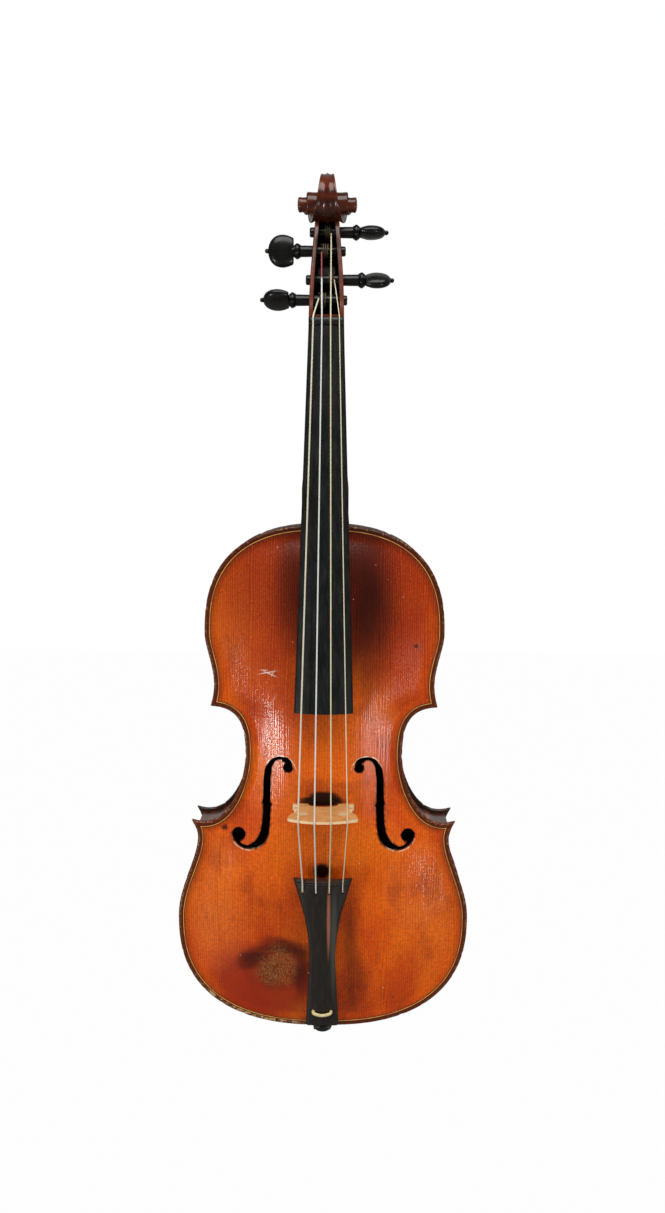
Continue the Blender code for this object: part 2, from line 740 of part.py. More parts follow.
def block_stretch(name, inset):
    """Where the blocks end along one stretch of the rib line: (first, last) distances."""
    line = cut_short(rib_line(name, inset), name, inset)
    along = lengths_along(line)
    first = CORNER_BLOCK_REACH
    last = along[-1] - CORNER_BLOCK_REACH
    if name == "lower":
        first = float(np.interp(END_BLOCK_HALF, line[:, 0], along))
    if name == "upper":
        last = float(np.interp(END_BLOCK_HALF, line[::-1, 0], along[::-1]))
    return line, first, last


def make_linings():
    low_back = -RIB_HEIGHT + GLUE_GAP
    for side, sign in (("treble", 1), ("bass", -1)):
        for name in OUTLINE:
            outer, first, last = block_stretch(name, FRAME_INSET)
            outer = part_of(outer, first + LINING_END_GAP, last - LINING_END_GAP)
            inner = shifted(outer, LINING_WIDTH)
            if sign < 0:
                outer, inner = mirrored(outer), mirrored(inner)
            title = {"lower": "lower", "centre": "c", "upper": "upper"}[name]
            strip(f"top_lining_{title}_{side}", outer, inner, -GLUE_GAP - LINING_HEIGHT, -GLUE_GAP,
                  INNER_WOOD)
            strip(f"back_lining_{title}_{side}", outer, inner, low_back, low_back + LINING_HEIGHT,
                  INNER_WOOD)


def make_blocks(bore):
    low = -RIB_HEIGHT + GLUE_GAP
    high = -GLUE_GAP
    line, first, _ = block_stretch("lower", FRAME_INSET)
    edge = part_of(line, 0, first)
    inner = FRAME_INSET + BOTTOM_BLOCK_DEPTH
    outline = np.vstack([mirrored(edge)[::-1], edge[1:], [(edge[-1, 0], inner), (-edge[-1, 0], inner)]])
    bottom = slab("bottom_block", outline, low, high, INNER_WOOD)
    cut(bottom, bore)
    line, _, last = block_stretch("upper", FRAME_INSET)
    edge = part_of(line, last, lengths_along(line)[-1])
    inner = BODY_LENGTH - FRAME_INSET - TOP_BLOCK_DEPTH
    outline = np.vstack([edge, mirrored(edge)[::-1][1:], [(-edge[0, 0], inner), (edge[0, 0], inner)]])
    slab("top_block", outline, low, high, INNER_WOOD)
    for corner, before, after in (("lower", "lower", "centre"), ("upper", "centre", "upper")):
        one = cut_short(rib_line(before, FRAME_INSET), before, FRAME_INSET)
        two = cut_short(rib_line(after, FRAME_INSET), after, FRAME_INSET)
        end = lengths_along(one)[-1]
        one = part_of(one, end - CORNER_BLOCK_REACH, end)
        two = part_of(two, 0, CORNER_BLOCK_REACH)
        ends = [shifted(two, LINING_WIDTH)[-1], shifted(one, LINING_WIDTH)[0]]
        outline = np.vstack([one, two[1:], ends])
        for side, sign in (("treble", 1), ("bass", -1)):
            slab(f"{corner}_corner_block_{side}", outline if sign > 0 else mirrored(outline), low, high,
                 INNER_WOOD)


# Bass bar and sound post


class Surface:
    """Heights on a finished piece, read by a straight line through it along the violin's thickness."""

    def __init__(self, thing):
        bpy.context.view_layer.update()
        self.tree = BVHTree.FromObject(thing, bpy.context.evaluated_depsgraph_get())

    def height(self, x, s, from_front):
        """The height of the first face met, coming from the front or from the back."""
        far = 0.2
        start = at(x, s, far if from_front else -far)
        hit = self.tree.ray_cast(start, Vector((0, 1 if from_front else -1, 0)))[0]
        return -hit.y - HANGER_DEPTH


def make_bass_bar(belly):
    """A tapered bar glued under the belly along the bass side."""
    surface = Surface(belly)
    middle = BODY_LENGTH / 2
    sections = []
    for s in np.linspace(middle - BASS_BAR_LENGTH / 2, middle + BASS_BAR_LENGTH / 2, 15):
        place = 2 * (s - middle) / BASS_BAR_LENGTH
        depth = BASS_BAR_DEPTH * (1 - 0.8 * abs(place) ** 2.5)
        sides = (BASS_BAR_X - BASS_BAR_WIDTH / 2, BASS_BAR_X + BASS_BAR_WIDTH / 2)
        top = min(surface.height(x, s, False) for x in sides) - GLUE_GAP
        sections.append([at(sides[0], s, top), at(sides[1], s, top), at(sides[1], s, top - depth),
                         at(sides[0], s, top - depth)])
    loft("bass_bar", sections, INNER_WOOD)


def make_sound_post(belly, back):
    front = Surface(belly)
    rear = Surface(back)
    u = np.linspace(0, 2 * np.pi, 8, endpoint=False)
    ring = [(POST_X + POST_RADIUS * math.cos(a), POST_HEIGHT + POST_RADIUS * math.sin(a)) for a in u]
    high = min(front.height(x, s, False) for x, s in ring) - GLUE_GAP
    low = max(rear.height(x, s, True) for x, s in ring) + GLUE_GAP
    post = slab("sound_post", circle((POST_X, POST_HEIGHT), POST_RADIUS, TURNED_STEPS), low, high,
                INNER_WOOD)
    shade_round(post)


# Neck, fingerboard and nut


def neck_plane(s):
    """The height of the neck's flat top face."""
    slope = (NECK_PLANE_AT_BODY - NECK_PLANE_AT_NUT) / NECK_LENGTH
    return NECK_PLANE_AT_NUT + slope * (NUT_HEIGHT - s)


def board_half(s):
    """Half the fingerboard's width."""
    slope = (FINGERBOARD_END_HALF - NUT_HALF) / FINGERBOARD_LENGTH
    return NUT_HALF + slope * (NUT_HEIGHT - s)


def board_top(s):
    """The height of the fingerboard's top along its middle."""
    slope = (FINGERBOARD_TOP_AT_END - FINGERBOARD_TOP_AT_NUT) / FINGERBOARD_LENGTH
    return FINGERBOARD_TOP_AT_NUT + slope * (NUT_HEIGHT - s)


def bow_drop(x, radius):
    """How far a rounded top of this radius has fallen at x from its middle."""
    return radius - math.sqrt(radius**2 - x**2)


def neck_section(s, top_half, bottom_half, depth, squareness):
    """A flat top and a rounded underside: points of a superellipse whose width tapers downwards."""
    top = neck_plane(s)
    points = []
    for u in np.linspace(0, np.pi, 15):
        down = math.sin(u) ** (2 / squareness)
        side = math.copysign(abs(math.cos(u)) ** (2 / squareness), math.cos(u))
        half = top_half + (bottom_half - top_half) * down
        points.append(at(half * side, s, top - depth * down))
    return points


def make_neck():
    foot = BODY_LENGTH - OVERHANG + GLUE_GAP
    full = NECK_PLANE_AT_BODY + RIB_HEIGHT - GLUE_GAP
    reach = BODY_LENGTH + BACK_BUTTON_REACH
    half = board_half(BODY_LENGTH) - 0.0002
    sections = [
        neck_section(foot, NECK_ROOT_HALF, NECK_FOOT_HALF, full, 6),
        neck_section(reach - 0.0035, half, NECK_FOOT_HALF * 0.98, full - 0.0006, 5),
        neck_section(reach + 0.0000, half, NECK_FOOT_HALF, full * 0.86, 3.6),
        neck_section(reach + 0.0045, half, NECK_FOOT_HALF * 1.1, full * 0.62, 2.9),
        neck_section(reach + 0.0110, half, half * 0.8, full * 0.45, 2.4),
        neck_section(reach + 0.0220, board_half(reach + 0.022), half * 0.9, full * 0.355, 2.15),
        neck_section(reach + 0.0400, board_half(reach + 0.04), half * 0.95, full * 0.325, 2.1),
        neck_section(NUT_HEIGHT - 0.020, board_half(NUT_HEIGHT - 0.02), NUT_HALF, NECK_DEPTH_AT_NUT, 2.1),
        neck_section(NUT_HEIGHT + NUT_THICKNESS, NUT_HALF, NUT_HALF * 0.98, NECK_DEPTH_AT_NUT, 2.3),
    ]
    neck = loft("neck", sections, BODY_WOOD)
    return neck


# The pegbox's outline from the side and its half widths: front edge, back edge, along the head
def head_sections():
    start = NUT_HEIGHT
    bottom = -EYE_DEPTH
    back = bottom - SCROLL_RADIUS
    turn = EYE_HEIGHT
    return [
        ((start - 0.0070, neck_plane(start) - 0.0010), (start - 0.0050, -0.0105), 0.0105, 0.0070),
        ((start + NUT_THICKNESS + 0.0012, neck_plane(start) - 0.0003), (start + 0.0020, -0.0170), 0.0118, 0.0100),
        ((start + 0.0180, 0.0022), (start + 0.0155, -0.0195), 0.0116, 0.0108),
        ((start + 0.0320, -0.0008), (start + 0.0290, -0.0222), 0.0111, 0.0098),
        ((start + 0.0510, -0.0050), (start + 0.0470, -0.0268), 0.0098, 0.0082),
        ((start + 0.0660, -0.0086), (start + 0.0610, -0.0312), 0.0086, 0.0066),
        ((turn - 0.0105, bottom + 0.0035), (turn - 0.0080, back + 0.0018), 0.0080, 0.0053),
        ((turn - 0.0040, bottom - 0.0060), (turn + 0.0030, back + 0.0020), 0.0040, 0.0040),
    ]


def front_edge(s):
    """The height of the pegbox's front edge."""
    rows = head_sections()[1:6]
    return float(np.interp(s, [row[0][0] for row in rows], [row[0][1] for row in rows]))


def back_edge(s):
    """The height of the pegbox's back."""
    rows = head_sections()[1:6]
    return float(np.interp(s, [row[1][0] for row in rows], [row[1][1] for row in rows]))


def cheek_half(s):
    """Half the pegbox's outer width along its front edge."""
    rows = head_sections()[1:6]
    return float(np.interp(s, [row[0][0] for row in rows], [row[2] for row in rows]))


def scroll_radius(turn):
    """The volute's radius after turning from its start at the crest, easing in towards the eye."""
    late = max(turn, 0.0)
    return EYE_RADIUS + (SCROLL_RADIUS - EYE_RADIUS) * math.exp(-late / SCROLL_DECAY)


def scroll_half(turn):
    """The volute's half width: it spreads over most of a turn, and the eye stands out in the last part."""
    share = min(max(turn, 0.0) / SCROLL_SPREAD_TURN, 1.0)
    rise = math.sin(share * math.pi / 2) ** 1.6
    out = min(max(turn - EYE_RISE_START, 0.0) / (EYE_RISE_END - EYE_RISE_START), 1.0)
    eye = out * out * (3 - 2 * out)
    return (SCROLL_CREST_HALF + (SCROLL_RIM_HALF - SCROLL_CREST_HALF) * rise
            + (EYE_HALF - SCROLL_RIM_HALF) * eye)


def make_scroll():
    """The volute: a stepped spiral on each side, closed by the rim of its first turn.

    The turn is counted from the crest, so that it is negative on the back and grows over the front,
    under the throat and in to the eye.
    """
    steps = 20
    first = -5
    last = 2 * steps
    points = []
    faces = []

    def place(turn, radius, half, side):
        angle = turn * 2 * math.pi / steps
        return at(side * half, EYE_HEIGHT + radius * math.cos(angle), -EYE_DEPTH + radius * math.sin(angle))

    index = {}
    for side in (-1, 1):
        for turn in range(first, last + steps + 1):
            angle = turn * 2 * math.pi / steps
            if turn <= last:
                outer = scroll_radius(angle)
                index["edge", side, turn] = len(points)
                points.append(place(turn, outer, scroll_half(angle), side))
            if turn >= first + steps:
                before = angle - 2 * math.pi
                inner = scroll_radius(angle) if turn <= last else EYE_RADIUS
                index["foot", side, turn] = len(points)
                points.append(place(turn, inner, scroll_half(before), side))
    for side in (-1, 1):
        for turn in range(first, last):
            a = index["edge", side, turn]
            b = index["edge", side, turn + 1]
            c = index["foot", side, turn + 1 + steps]
            d = index["foot", side, turn + steps]
            faces.append((a, b, c, d))
            if turn + 1 + steps <= last:
                e = index["edge", side, turn + steps]
                f = index["edge", side, turn + 1 + steps]
                faces.append((d, c, f, e))
    throat = first + steps
    for turn in range(first, throat):
        rim = [index["edge", -1, turn], index["edge", 1, turn], index["edge", 1, turn + 1],
               index["edge", -1, turn + 1]]
        if turn + 1 == throat:
            rim[3:3] = [index["foot", 1, throat], index["foot", -1, throat]]
        faces.append(tuple(rim))
    faces.append((index["edge", -1, first], index["edge", 1, first], index["foot", 1, throat],
                  index["foot", -1, throat]))
    for side in (-1, 1):
        cap = [index["edge", side, last]]
        for turn in range(last + 1, last + steps):
            cap.append(len(points))
            angle = turn * 2 * math.pi / steps
            points.append(place(turn, EYE_RADIUS, scroll_half(angle), side))
        cap.append(index["foot", side, last + steps])
        for i in range(steps):
            foot = index["foot", side, last + i]
            ahead = index["foot", side, last + i + 1]
            wall = [foot, ahead, cap[i + 1], cap[i]]
            faces.append(tuple(dict.fromkeys(wall)))
        faces.append(tuple(cap))
    return closed_solid("scroll_shape", points, faces, BODY_WOOD, CUTTERS)


def make_head(neck):
    """The pegbox and the scroll, joined to the neck, with the pegbox hollowed and bored for the pegs."""
    sections = []
    for front, back, front_half, back_half in head_sections():
        sections.append([at(-front_half, *front), at(front_half, *front), at(back_half, *back),
                         at(-back_half, *back)])
    pegbox = hide_cutter(loft("pegbox_shape", sections, BODY_WOOD, CUTTERS))
    scroll = hide_cutter(make_scroll())
    cut(neck, pegbox, "UNION")
    cut(neck, scroll, "UNION")
    rows = []
    low = NUT_HEIGHT + NUT_THICKNESS + PEGBOX_FOOT
    high = PEG_HEIGHTS["a"] + 0.0062
    for s in np.linspace(low, high, 5):
        half = cheek_half(s) - PEGBOX_WALL
        floor = back_edge(s) + PEGBOX_FLOOR
        rows.append([at(-half, s, 0.03), at(half, s, 0.03), at(half * 0.9, s, floor),
                     at(-half * 0.9, s, floor)])
    cavity = hide_cutter(loft("pegbox_hollow", rows, EBONY, CUTTERS))
    cut(neck, cavity)
    for name in PEG_HEIGHTS:
        bore = turned("peg_bore_" + name, peg_shank(name, TURNING_GAP, 0.004), EBONY, CUTTERS)
        place_peg(bore, name)
        bore.rotation_euler.x = 0
        cut(neck, hide_cutter(bore))
    shade_round(neck, 40)


# Pegs and windings


def peg_centre(name):
    s = PEG_HEIGHTS[name]
    return s, front_edge(s) - PEG_BELOW_EDGE


def place_peg(thing, name):
    """Puts a piece turned about Z on the peg's axis, with Z towards the peg's head."""
    s, h = peg_centre(name)
    thing.location = at(0, s, h)
    thing.rotation_mode = "ZYX"
    thing.rotation_euler = (PEG_TURNS[name], PEG_SIDES[name] * math.pi / 2, 0)


def shank_radius(name, distance):
    """The peg's radius, tapering from the collar to its tail."""
    start = -PEG_TAIL[name]
    share = (distance - start) / (PEG_COLLAR[name] - start)
    return PEG_END_RADIUS + (PEG_RADIUS - PEG_END_RADIUS) * share


def peg_shank(name, gap, spare):
    """The tapered shank as a profile, made fatter by gap and longer by spare."""
    top = PEG_COLLAR[name] + spare
    tail = -PEG_TAIL[name] - spare
    return [(0, top), (shank_radius(name, PEG_COLLAR[name]) + gap, top),
            (shank_radius(name, -PEG_TAIL[name]) + gap, tail), (0, tail)]


def make_peg(name):
    """A turned shank and collar with a flat oval head and a small pip."""
    collar = PEG_COLLAR[name]
    tail = -PEG_TAIL[name]
    head_start = collar + PEG_COLLAR_LENGTH
    narrow = PEG_RADIUS * 0.95
    profile = [
        (0, head_start + 0.004), (narrow * 0.8, head_start + 0.004), (narrow, head_start - 0.0002),
        (PEG_COLLAR_RADIUS * 0.86, head_start - 0.0010),
        (PEG_COLLAR_RADIUS, collar + 0.6 * PEG_COLLAR_LENGTH),
        (PEG_COLLAR_RADIUS, collar + 0.35 * PEG_COLLAR_LENGTH),
        (PEG_COLLAR_RADIUS * 0.82, collar + 0.1 * PEG_COLLAR_LENGTH),
        (shank_radius(name, collar), collar), (shank_radius(name, tail + 0.0005), tail + 0.0005),
        (PEG_END_RADIUS - 0.0005, tail), (0, tail),
    ]
    peg = turned("peg_" + name, profile, EBONY, steps=PEG_STEPS)
    place_peg(peg, name)
    shape = bmesh.new()
    bmesh.ops.create_uvsphere(shape, u_segments=PEG_STEPS, v_segments=8, radius=1.0)
    middle = head_start + PEG_HEAD_LENGTH / 2
    for vert in shape.verts:
        vert.co = Vector((vert.co.x * PEG_HEAD_HALF, vert.co.y * PEG_HEAD_THICKNESS / 2,
                          middle + vert.co.z * PEG_HEAD_LENGTH / 2))
    mesh = bpy.data.meshes.new("peg_head_" + name)
    shape.to_mesh(mesh)
    shape.clear()
    head = finish("peg_head_" + name, mesh, EBONY, CUTTERS)
    place_peg(head, name)
    cut(peg, hide_cutter(head), "UNION")
    bmesh.ops.create_uvsphere(shape, u_segments=8, v_segments=6, radius=PEG_PIP_RADIUS)
    bmesh.ops.translate(shape, verts=shape.verts, vec=(0, 0, middle + PEG_HEAD_LENGTH / 2 + PEG_PIP_RADIUS / 3))
    mesh = bpy.data.meshes.new("peg_pip_" + name)
    shape.to_mesh(mesh)
    shape.free()
    pip = finish("peg_pip_" + name, mesh, EBONY, CUTTERS)
    place_peg(pip, name)
    cut(peg, hide_cutter(pip), "UNION")
    return peg


def winding_facts(name):
    """The winding's radius, its pitch and where along the peg its last turn lies."""
    radius = STRING_RADII[name]
    pitch = 2 * radius + WINDING_GAP
    s = PEG_HEIGHTS[name]
    wall = cheek_half(s) - PEGBOX_WALL
    last = PEG_SIDES[name] * (wall * 0.9 - WINDING_WALL_GAP - radius)
    return PEG_RADIUS + TURNING_GAP + radius, pitch, last


def make_winding(name):
    """The string's turns round its peg, one unbroken helix."""
    radius, pitch, last = winding_facts(name)
    s, h = peg_centre(name)
    side = PEG_SIDES[name]
    count = WINDING_TURNS * WINDING_STEPS
    points = []
    for i in range(count + 1):
        turn = i / WINDING_STEPS
        angle = 2 * math.pi * turn
        x = last - side * pitch * (WINDING_TURNS - turn)
        points.append(at(x, s + radius * math.cos(angle), h + radius * math.sin(angle)))
    spots = np.array(points)
    apart = np.linalg.norm(spots[:, None] - spots[None], axis=2)
    far = np.abs(np.subtract.outer(np.arange(count + 1), np.arange(count + 1))) >= WINDING_STEPS // 2
    least = apart[far].min() - 2 * STRING_RADII[name]
    print(f"winding_{name}: least gap between turns {least * 1000:.2f} mm")
    return tube("winding_" + name, points, STRING_RADII[name], GUT, resolution=1)


# Bridge


def crown_height(x):
    """The height of the bridge's crown at x."""
    return BELLY_ARCH + BRIDGE_HEIGHT - bow_drop(x, BRIDGE_CROWN_RADIUS)


def bridge_outline(foot_height):
    """The treble half of the bridge, from the middle of its arch round the foot to its crown."""
    top = crown_height(BRIDGE_CROWN_HALF)
    base = foot_height(BRIDGE_FOOT_HALF)
    inner = BRIDGE_FOOT_HALF * 0.5
    rise = BRIDGE_HEIGHT
    points = [
        (0.0, BELLY_ARCH + 0.20 * rise), (inner * 0.55, BELLY_ARCH + 0.17 * rise),
        (inner * 0.95, BELLY_ARCH + 0.08 * rise), (inner, foot_height(inner)),
        (BRIDGE_FOOT_HALF, base), (BRIDGE_FOOT_HALF, base + 0.07 * rise),
        (BRIDGE_FOOT_HALF * 0.87, base + 0.16 * rise), (BRIDGE_FOOT_HALF * 0.85, base + 0.27 * rise),
        (BRIDGE_FOOT_HALF * 0.74, base + 0.36 * rise), (BRIDGE_FOOT_HALF * 0.80, base + 0.44 * rise),
        (BRIDGE_FOOT_HALF * 1.02, base + 0.48 * rise), (BRIDGE_CROWN_HALF, base + 0.62 * rise),
        (BRIDGE_CROWN_HALF, top - 0.0006),
    ]
    for x in np.linspace(BRIDGE_CROWN_HALF - 0.0006, 0, 7):
        points.append((x, crown_height(x)))
    return points


def make_bridge(belly):
    surface = Surface(belly)

    def foot_height(x):
        return surface.height(x, BODY_STOP, True) + GLUE_GAP

    half = bridge_outline(foot_height)
    whole = half + [(-x, h) for x, h in half[::-1]][1:-1]
    crown = BELLY_ARCH + BRIDGE_HEIGHT

    def face(front):
        points = []
        for x, h in whole:
            share = (h - BELLY_ARCH) / (crown - BELLY_ARCH)
            thickness = BRIDGE_FOOT_THICKNESS + (BRIDGE_TOP_THICKNESS - BRIDGE_FOOT_THICKNESS) * share
            s = BODY_STOP - BRIDGE_FOOT_THICKNESS / 2 + (thickness if front else 0)
            points.append(at(x, s, h))
        return points

    bridge = loft("bridge", [face(False), face(True)], BRIDGE_WOOD)
    middle = BELLY_ARCH + 0.60 * BRIDGE_HEIGHT
    low = BODY_STOP - BRIDGE_FOOT_THICKNESS
    for name, x, h, across, up in (
            ("bridge_heart", 0.0, middle, 0.0042, 0.0040),
            ("bridge_kidney_treble", 0.0130, middle - 0.0005, 0.0046, 0.0032),
            ("bridge_kidney_bass", -0.0130, middle - 0.0005, 0.0046, 0.0032)):
        hole = turned(name, [(0, 0.01), (1, 0.01), (1, -0.01), (0, -0.01)], EBONY, CUTTERS, 14)
        for vert in hole.data.vertices:
            vert.co.x *= up
        hole.scale = (1, across / up, 1)
        hole.location = at(x, low + BRIDGE_FOOT_THICKNESS / 2, h)
        hole.rotation_euler = (0, 0, math.pi / 2)
        cut(bridge, hide_cutter(hole))
    return bridge


# Fingerboard and nut


def board_section(s, bottom):
    half = board_half(s)
    edge = [at(x, s, board_top(s) - bow_drop(x, FINGERBOARD_RADIUS)) for x in np.linspace(-half, half, 9)]
    return [at(-half + 0.0002, s, bottom)] + edge + [at(half - 0.0002, s, bottom)]


def make_fingerboard():
    """A wedge over the neck that runs free over the belly, its underside then following its top."""
    end = NUT_HEIGHT - FINGERBOARD_LENGTH
    free = BODY_LENGTH - 0.004
    drop = bow_drop(FINGERBOARD_END_HALF, FINGERBOARD_RADIUS) + FINGERBOARD_EDGE_AT_END
    sections = []
    for s in (NUT_HEIGHT - GLUE_GAP, (NUT_HEIGHT + free) / 2, free):
        sections.append(board_section(s, neck_plane(s) + GLUE_GAP))
    for s in (free - 0.012, (free + end) / 2, end):
        sections.append(board_section(s, board_top(s) - drop))
    board = loft("fingerboard", sections, EBONY)
    shade_round(board, 30)


def nut_top(x):
    return NUT_TOP - bow_drop(x, FINGERBOARD_RADIUS)


def make_nut():
    base = neck_plane(NUT_HEIGHT) + GLUE_GAP
    front = NUT_HEIGHT
    rear = NUT_HEIGHT + NUT_THICKNESS
    sections = []
    for s, lower in ((front, 0.0004), (front + 0.001, 0), (rear - 0.002, 0.0004), (rear, NUT_REAR_DROP)):
        top = [at(x, s, nut_top(x) - lower) for x in np.linspace(-NUT_HALF, NUT_HALF, 9)]
        sections.append([at(-NUT_HALF, s, base)] + top + [at(NUT_HALF, s, base)])
    loft("nut", sections, EBONY)


# Tailpiece, tail gut, saddle and end button


def tail_top(s):
    """The height of the tailpiece's top along its middle."""
    share = (s - TAILPIECE_FOOT) / (TAILPIECE_HEAD - TAILPIECE_FOOT)
    return TAILPIECE_TOP_AT_FOOT + (TAILPIECE_TOP_AT_HEAD - TAILPIECE_TOP_AT_FOOT) * share


def tail_half(s):
    """Half the tailpiece's width: wide at the head, narrow at the waist, a little wider at the foot."""
    length = TAILPIECE_HEAD - TAILPIECE_FOOT
    places = [TAILPIECE_FOOT + share * length for share in (0, 0.22, 0.48, 0.72, 0.88, 1)]
    head = TAILPIECE_HEAD_HALF
    waist = TAILPIECE_WAIST_HALF
    halves = [TAILPIECE_FOOT_HALF, (TAILPIECE_FOOT_HALF + waist) / 2, waist,
              waist + 0.25 * (head - waist), waist + 0.66 * (head - waist), head]
    return float(np.interp(s, places, halves))


def tail_section(s):
    half = tail_half(s)
    top = [at(x, s, tail_top(s) - bow_drop(x, TAILPIECE_RADIUS)) for x in np.linspace(-half, half, 9)]
    bottom = tail_top(s) - TAILPIECE_THICKNESS
    edge = bow_drop(half, TAILPIECE_RADIUS)
    under = [at(half - 0.0008, s, bottom - edge * 0.6), at(0, s, bottom), at(-half + 0.0008, s, bottom - edge * 0.6)]
    return top + under


def string_x(name, spread):
    """Where a string lies across the violin, for the width from the first string to the last."""
    place = STRING_NAMES.index(name) / (len(STRING_NAMES) - 1)
    return spread * (place - 0.5)


def upright_bore(name, x, s, radius):
    hole = turned(name, [(0, 0.03), (radius, 0.03), (radius, -0.03), (0, -0.03)], EBONY, CUTTERS, 10)
    hole.location = at(x, s, 0.02)
    hole.rotation_euler = (math.pi / 2, 0, 0)
    return hide_cutter(hole)


def make_tailpiece():
    length = TAILPIECE_HEAD - TAILPIECE_FOOT
    places = [TAILPIECE_FOOT + share * length for share in (0, 0.1, 0.22, 0.35, 0.48, 0.6, 0.72, 0.8, 0.88, 0.95, 1)]
    tailpiece = loft("tailpiece", [tail_section(s) for s in places], EBONY)
    for name in STRING_NAMES:
        x = string_x(name, STRING_SPREAD_AT_TAIL)
        radius = STRING_RADII["g"] + STRING_HOLE_GAP
        cut(tailpiece, upright_bore("string_hole_" + name, x, TAILPIECE_HEAD - STRING_HOLE_INSET, radius))
    for side in (-1, 1):
        cut(tailpiece, upright_bore(f"tailgut_hole_{side + 1}", side * TAILGUT_HOLE_HALF,
                                    TAILGUT_HOLE_HEIGHT, TAILGUT_RADIUS + TAILGUT_GAP))
    shade_round(tailpiece, 30)
    middle = TAILPIECE_HEAD - TAIL_FRET_INSET
    sections = []
    for s, rise in ((middle - TAIL_FRET_WIDTH / 2, 0.5), (middle, 1.0), (middle + TAIL_FRET_WIDTH / 2, 0.5)):
        half = tail_half(s) - 0.0006
        places = np.linspace(-half, half, 9)
        lower = [at(x, s, tail_top(s) - bow_drop(x, TAILPIECE_RADIUS) + GLUE_GAP) for x in places]
        upper = [at(x, s, tail_top(s) - bow_drop(x, TAILPIECE_RADIUS) + GLUE_GAP + rise * TAIL_FRET_RISE)
                 for x in places]
        sections.append(lower + upper[::-1])
    loft("tailpiece_fret", sections, EBONY)


def make_saddle():
    rear = SADDLE_DEPTH
    top = EDGE_THICKNESS + SADDLE_RISE
    outline = [(0.0, GLUE_GAP), (0.0, top * 0.8), (0.0012, top), (rear - 0.003, top), (rear, EDGE_THICKNESS),
               (rear, GLUE_GAP)]
    loft("saddle", [[at(x, s, h) for s, h in outline] for x in (-SADDLE_HALF, SADDLE_HALF)], EBONY)


def button_face():
    """The middle of the end button's flat outer face, which the button is turned about."""
    return at(0, -BUTTON_REACH, -RIB_HEIGHT / 2)


def gut_button_height():
    """How high up the end button the tail gut lies, counted from the body's lower edge."""
    return -BUTTON_REACH + 0.0094


def tailgut_route():
    """The loop's points: round the button, over the saddle and through the tailpiece's two holes."""
    low = gut_button_height()
    turn = BUTTON_NECK_RADIUS + TAILGUT_GAP + TAILGUT_RADIUS
    axis = -RIB_HEIGHT / 2
    saddle_top = EDGE_THICKNESS + SADDLE_RISE + TAILGUT_GAP + TAILGUT_RADIUS
    clear = TAILGUT_RADIUS + TAILGUT_GAP
    hole = TAILGUT_HOLE_HEIGHT
    under = tail_top(hole) - TAILPIECE_THICKNESS - 2 * clear
    over = tail_top(hole) + clear
    strand = [
        (turn, low, axis), (turn, low, axis * 0.5), (turn, low, 0.0),
        (turn, low + 0.0004, saddle_top * 0.55), (turn, -clear + 0.0003, saddle_top * 0.84),
        (turn, 0.0010, saddle_top * 1.02), (turn, 0.0035, saddle_top * 1.04), (turn, 0.0075, saddle_top * 1.04),
        (TAILGUT_HOLE_HALF, hole - 0.0018, (under + saddle_top) / 2), (TAILGUT_HOLE_HALF, hole, under + clear),
        (TAILGUT_HOLE_HALF, hole, (under + over) / 2), (TAILGUT_HOLE_HALF, hole, over - 0.2 * clear),
        (TAILGUT_HOLE_HALF - 0.0008, hole - 0.0008, over + 0.1 * clear),
    ]
    bridge_over = [(x, hole - TAILGUT_DIP * math.cos(x / TAILGUT_HOLE_HALF * math.pi / 2) ** 0.8,
                    over + 0.1 * clear) for x in np.array([0.65, 0.33, 0, -0.33, -0.65]) * TAILGUT_HOLE_HALF]
    other = [(-x, s, h) for x, s, h in strand[::-1]]
    loop = [(turn * math.cos(u), low, axis - turn * math.sin(u)) for u in np.linspace(np.pi, 0, 9)[1:-1]]
    return [at(*point) for point in strand + bridge_over + other + loop]


def make_end_button():
    reach = BUTTON_REACH + OVERHANG
    groove = (0.0072, 0.0117)
    inner = reach + BUTTON_SHANK_LENGTH
    profile = [
        (0, inner), (BUTTON_SHANK_RADIUS, inner), (BUTTON_SHANK_RADIUS, reach - GLUE_GAP),
        (BUTTON_RADIUS * 0.95, reach - GLUE_GAP), (BUTTON_RADIUS * 0.95, groove[1] + 0.0006),
        (BUTTON_NECK_RADIUS, groove[1]), (BUTTON_NECK_RADIUS, groove[0]),
        (BUTTON_RADIUS * 0.93, groove[0] - 0.0014), (BUTTON_RADIUS, groove[0] - 0.0028),
        (BUTTON_RADIUS * 0.93, 0.0022), (BUTTON_FACE_RADIUS + 0.0009, 0.0005), (BUTTON_FACE_RADIUS, 0),
        (0, 0),
    ]
    button = turned("end_button", profile, EBONY)
    button.location = button_face()
    return button


# Strings


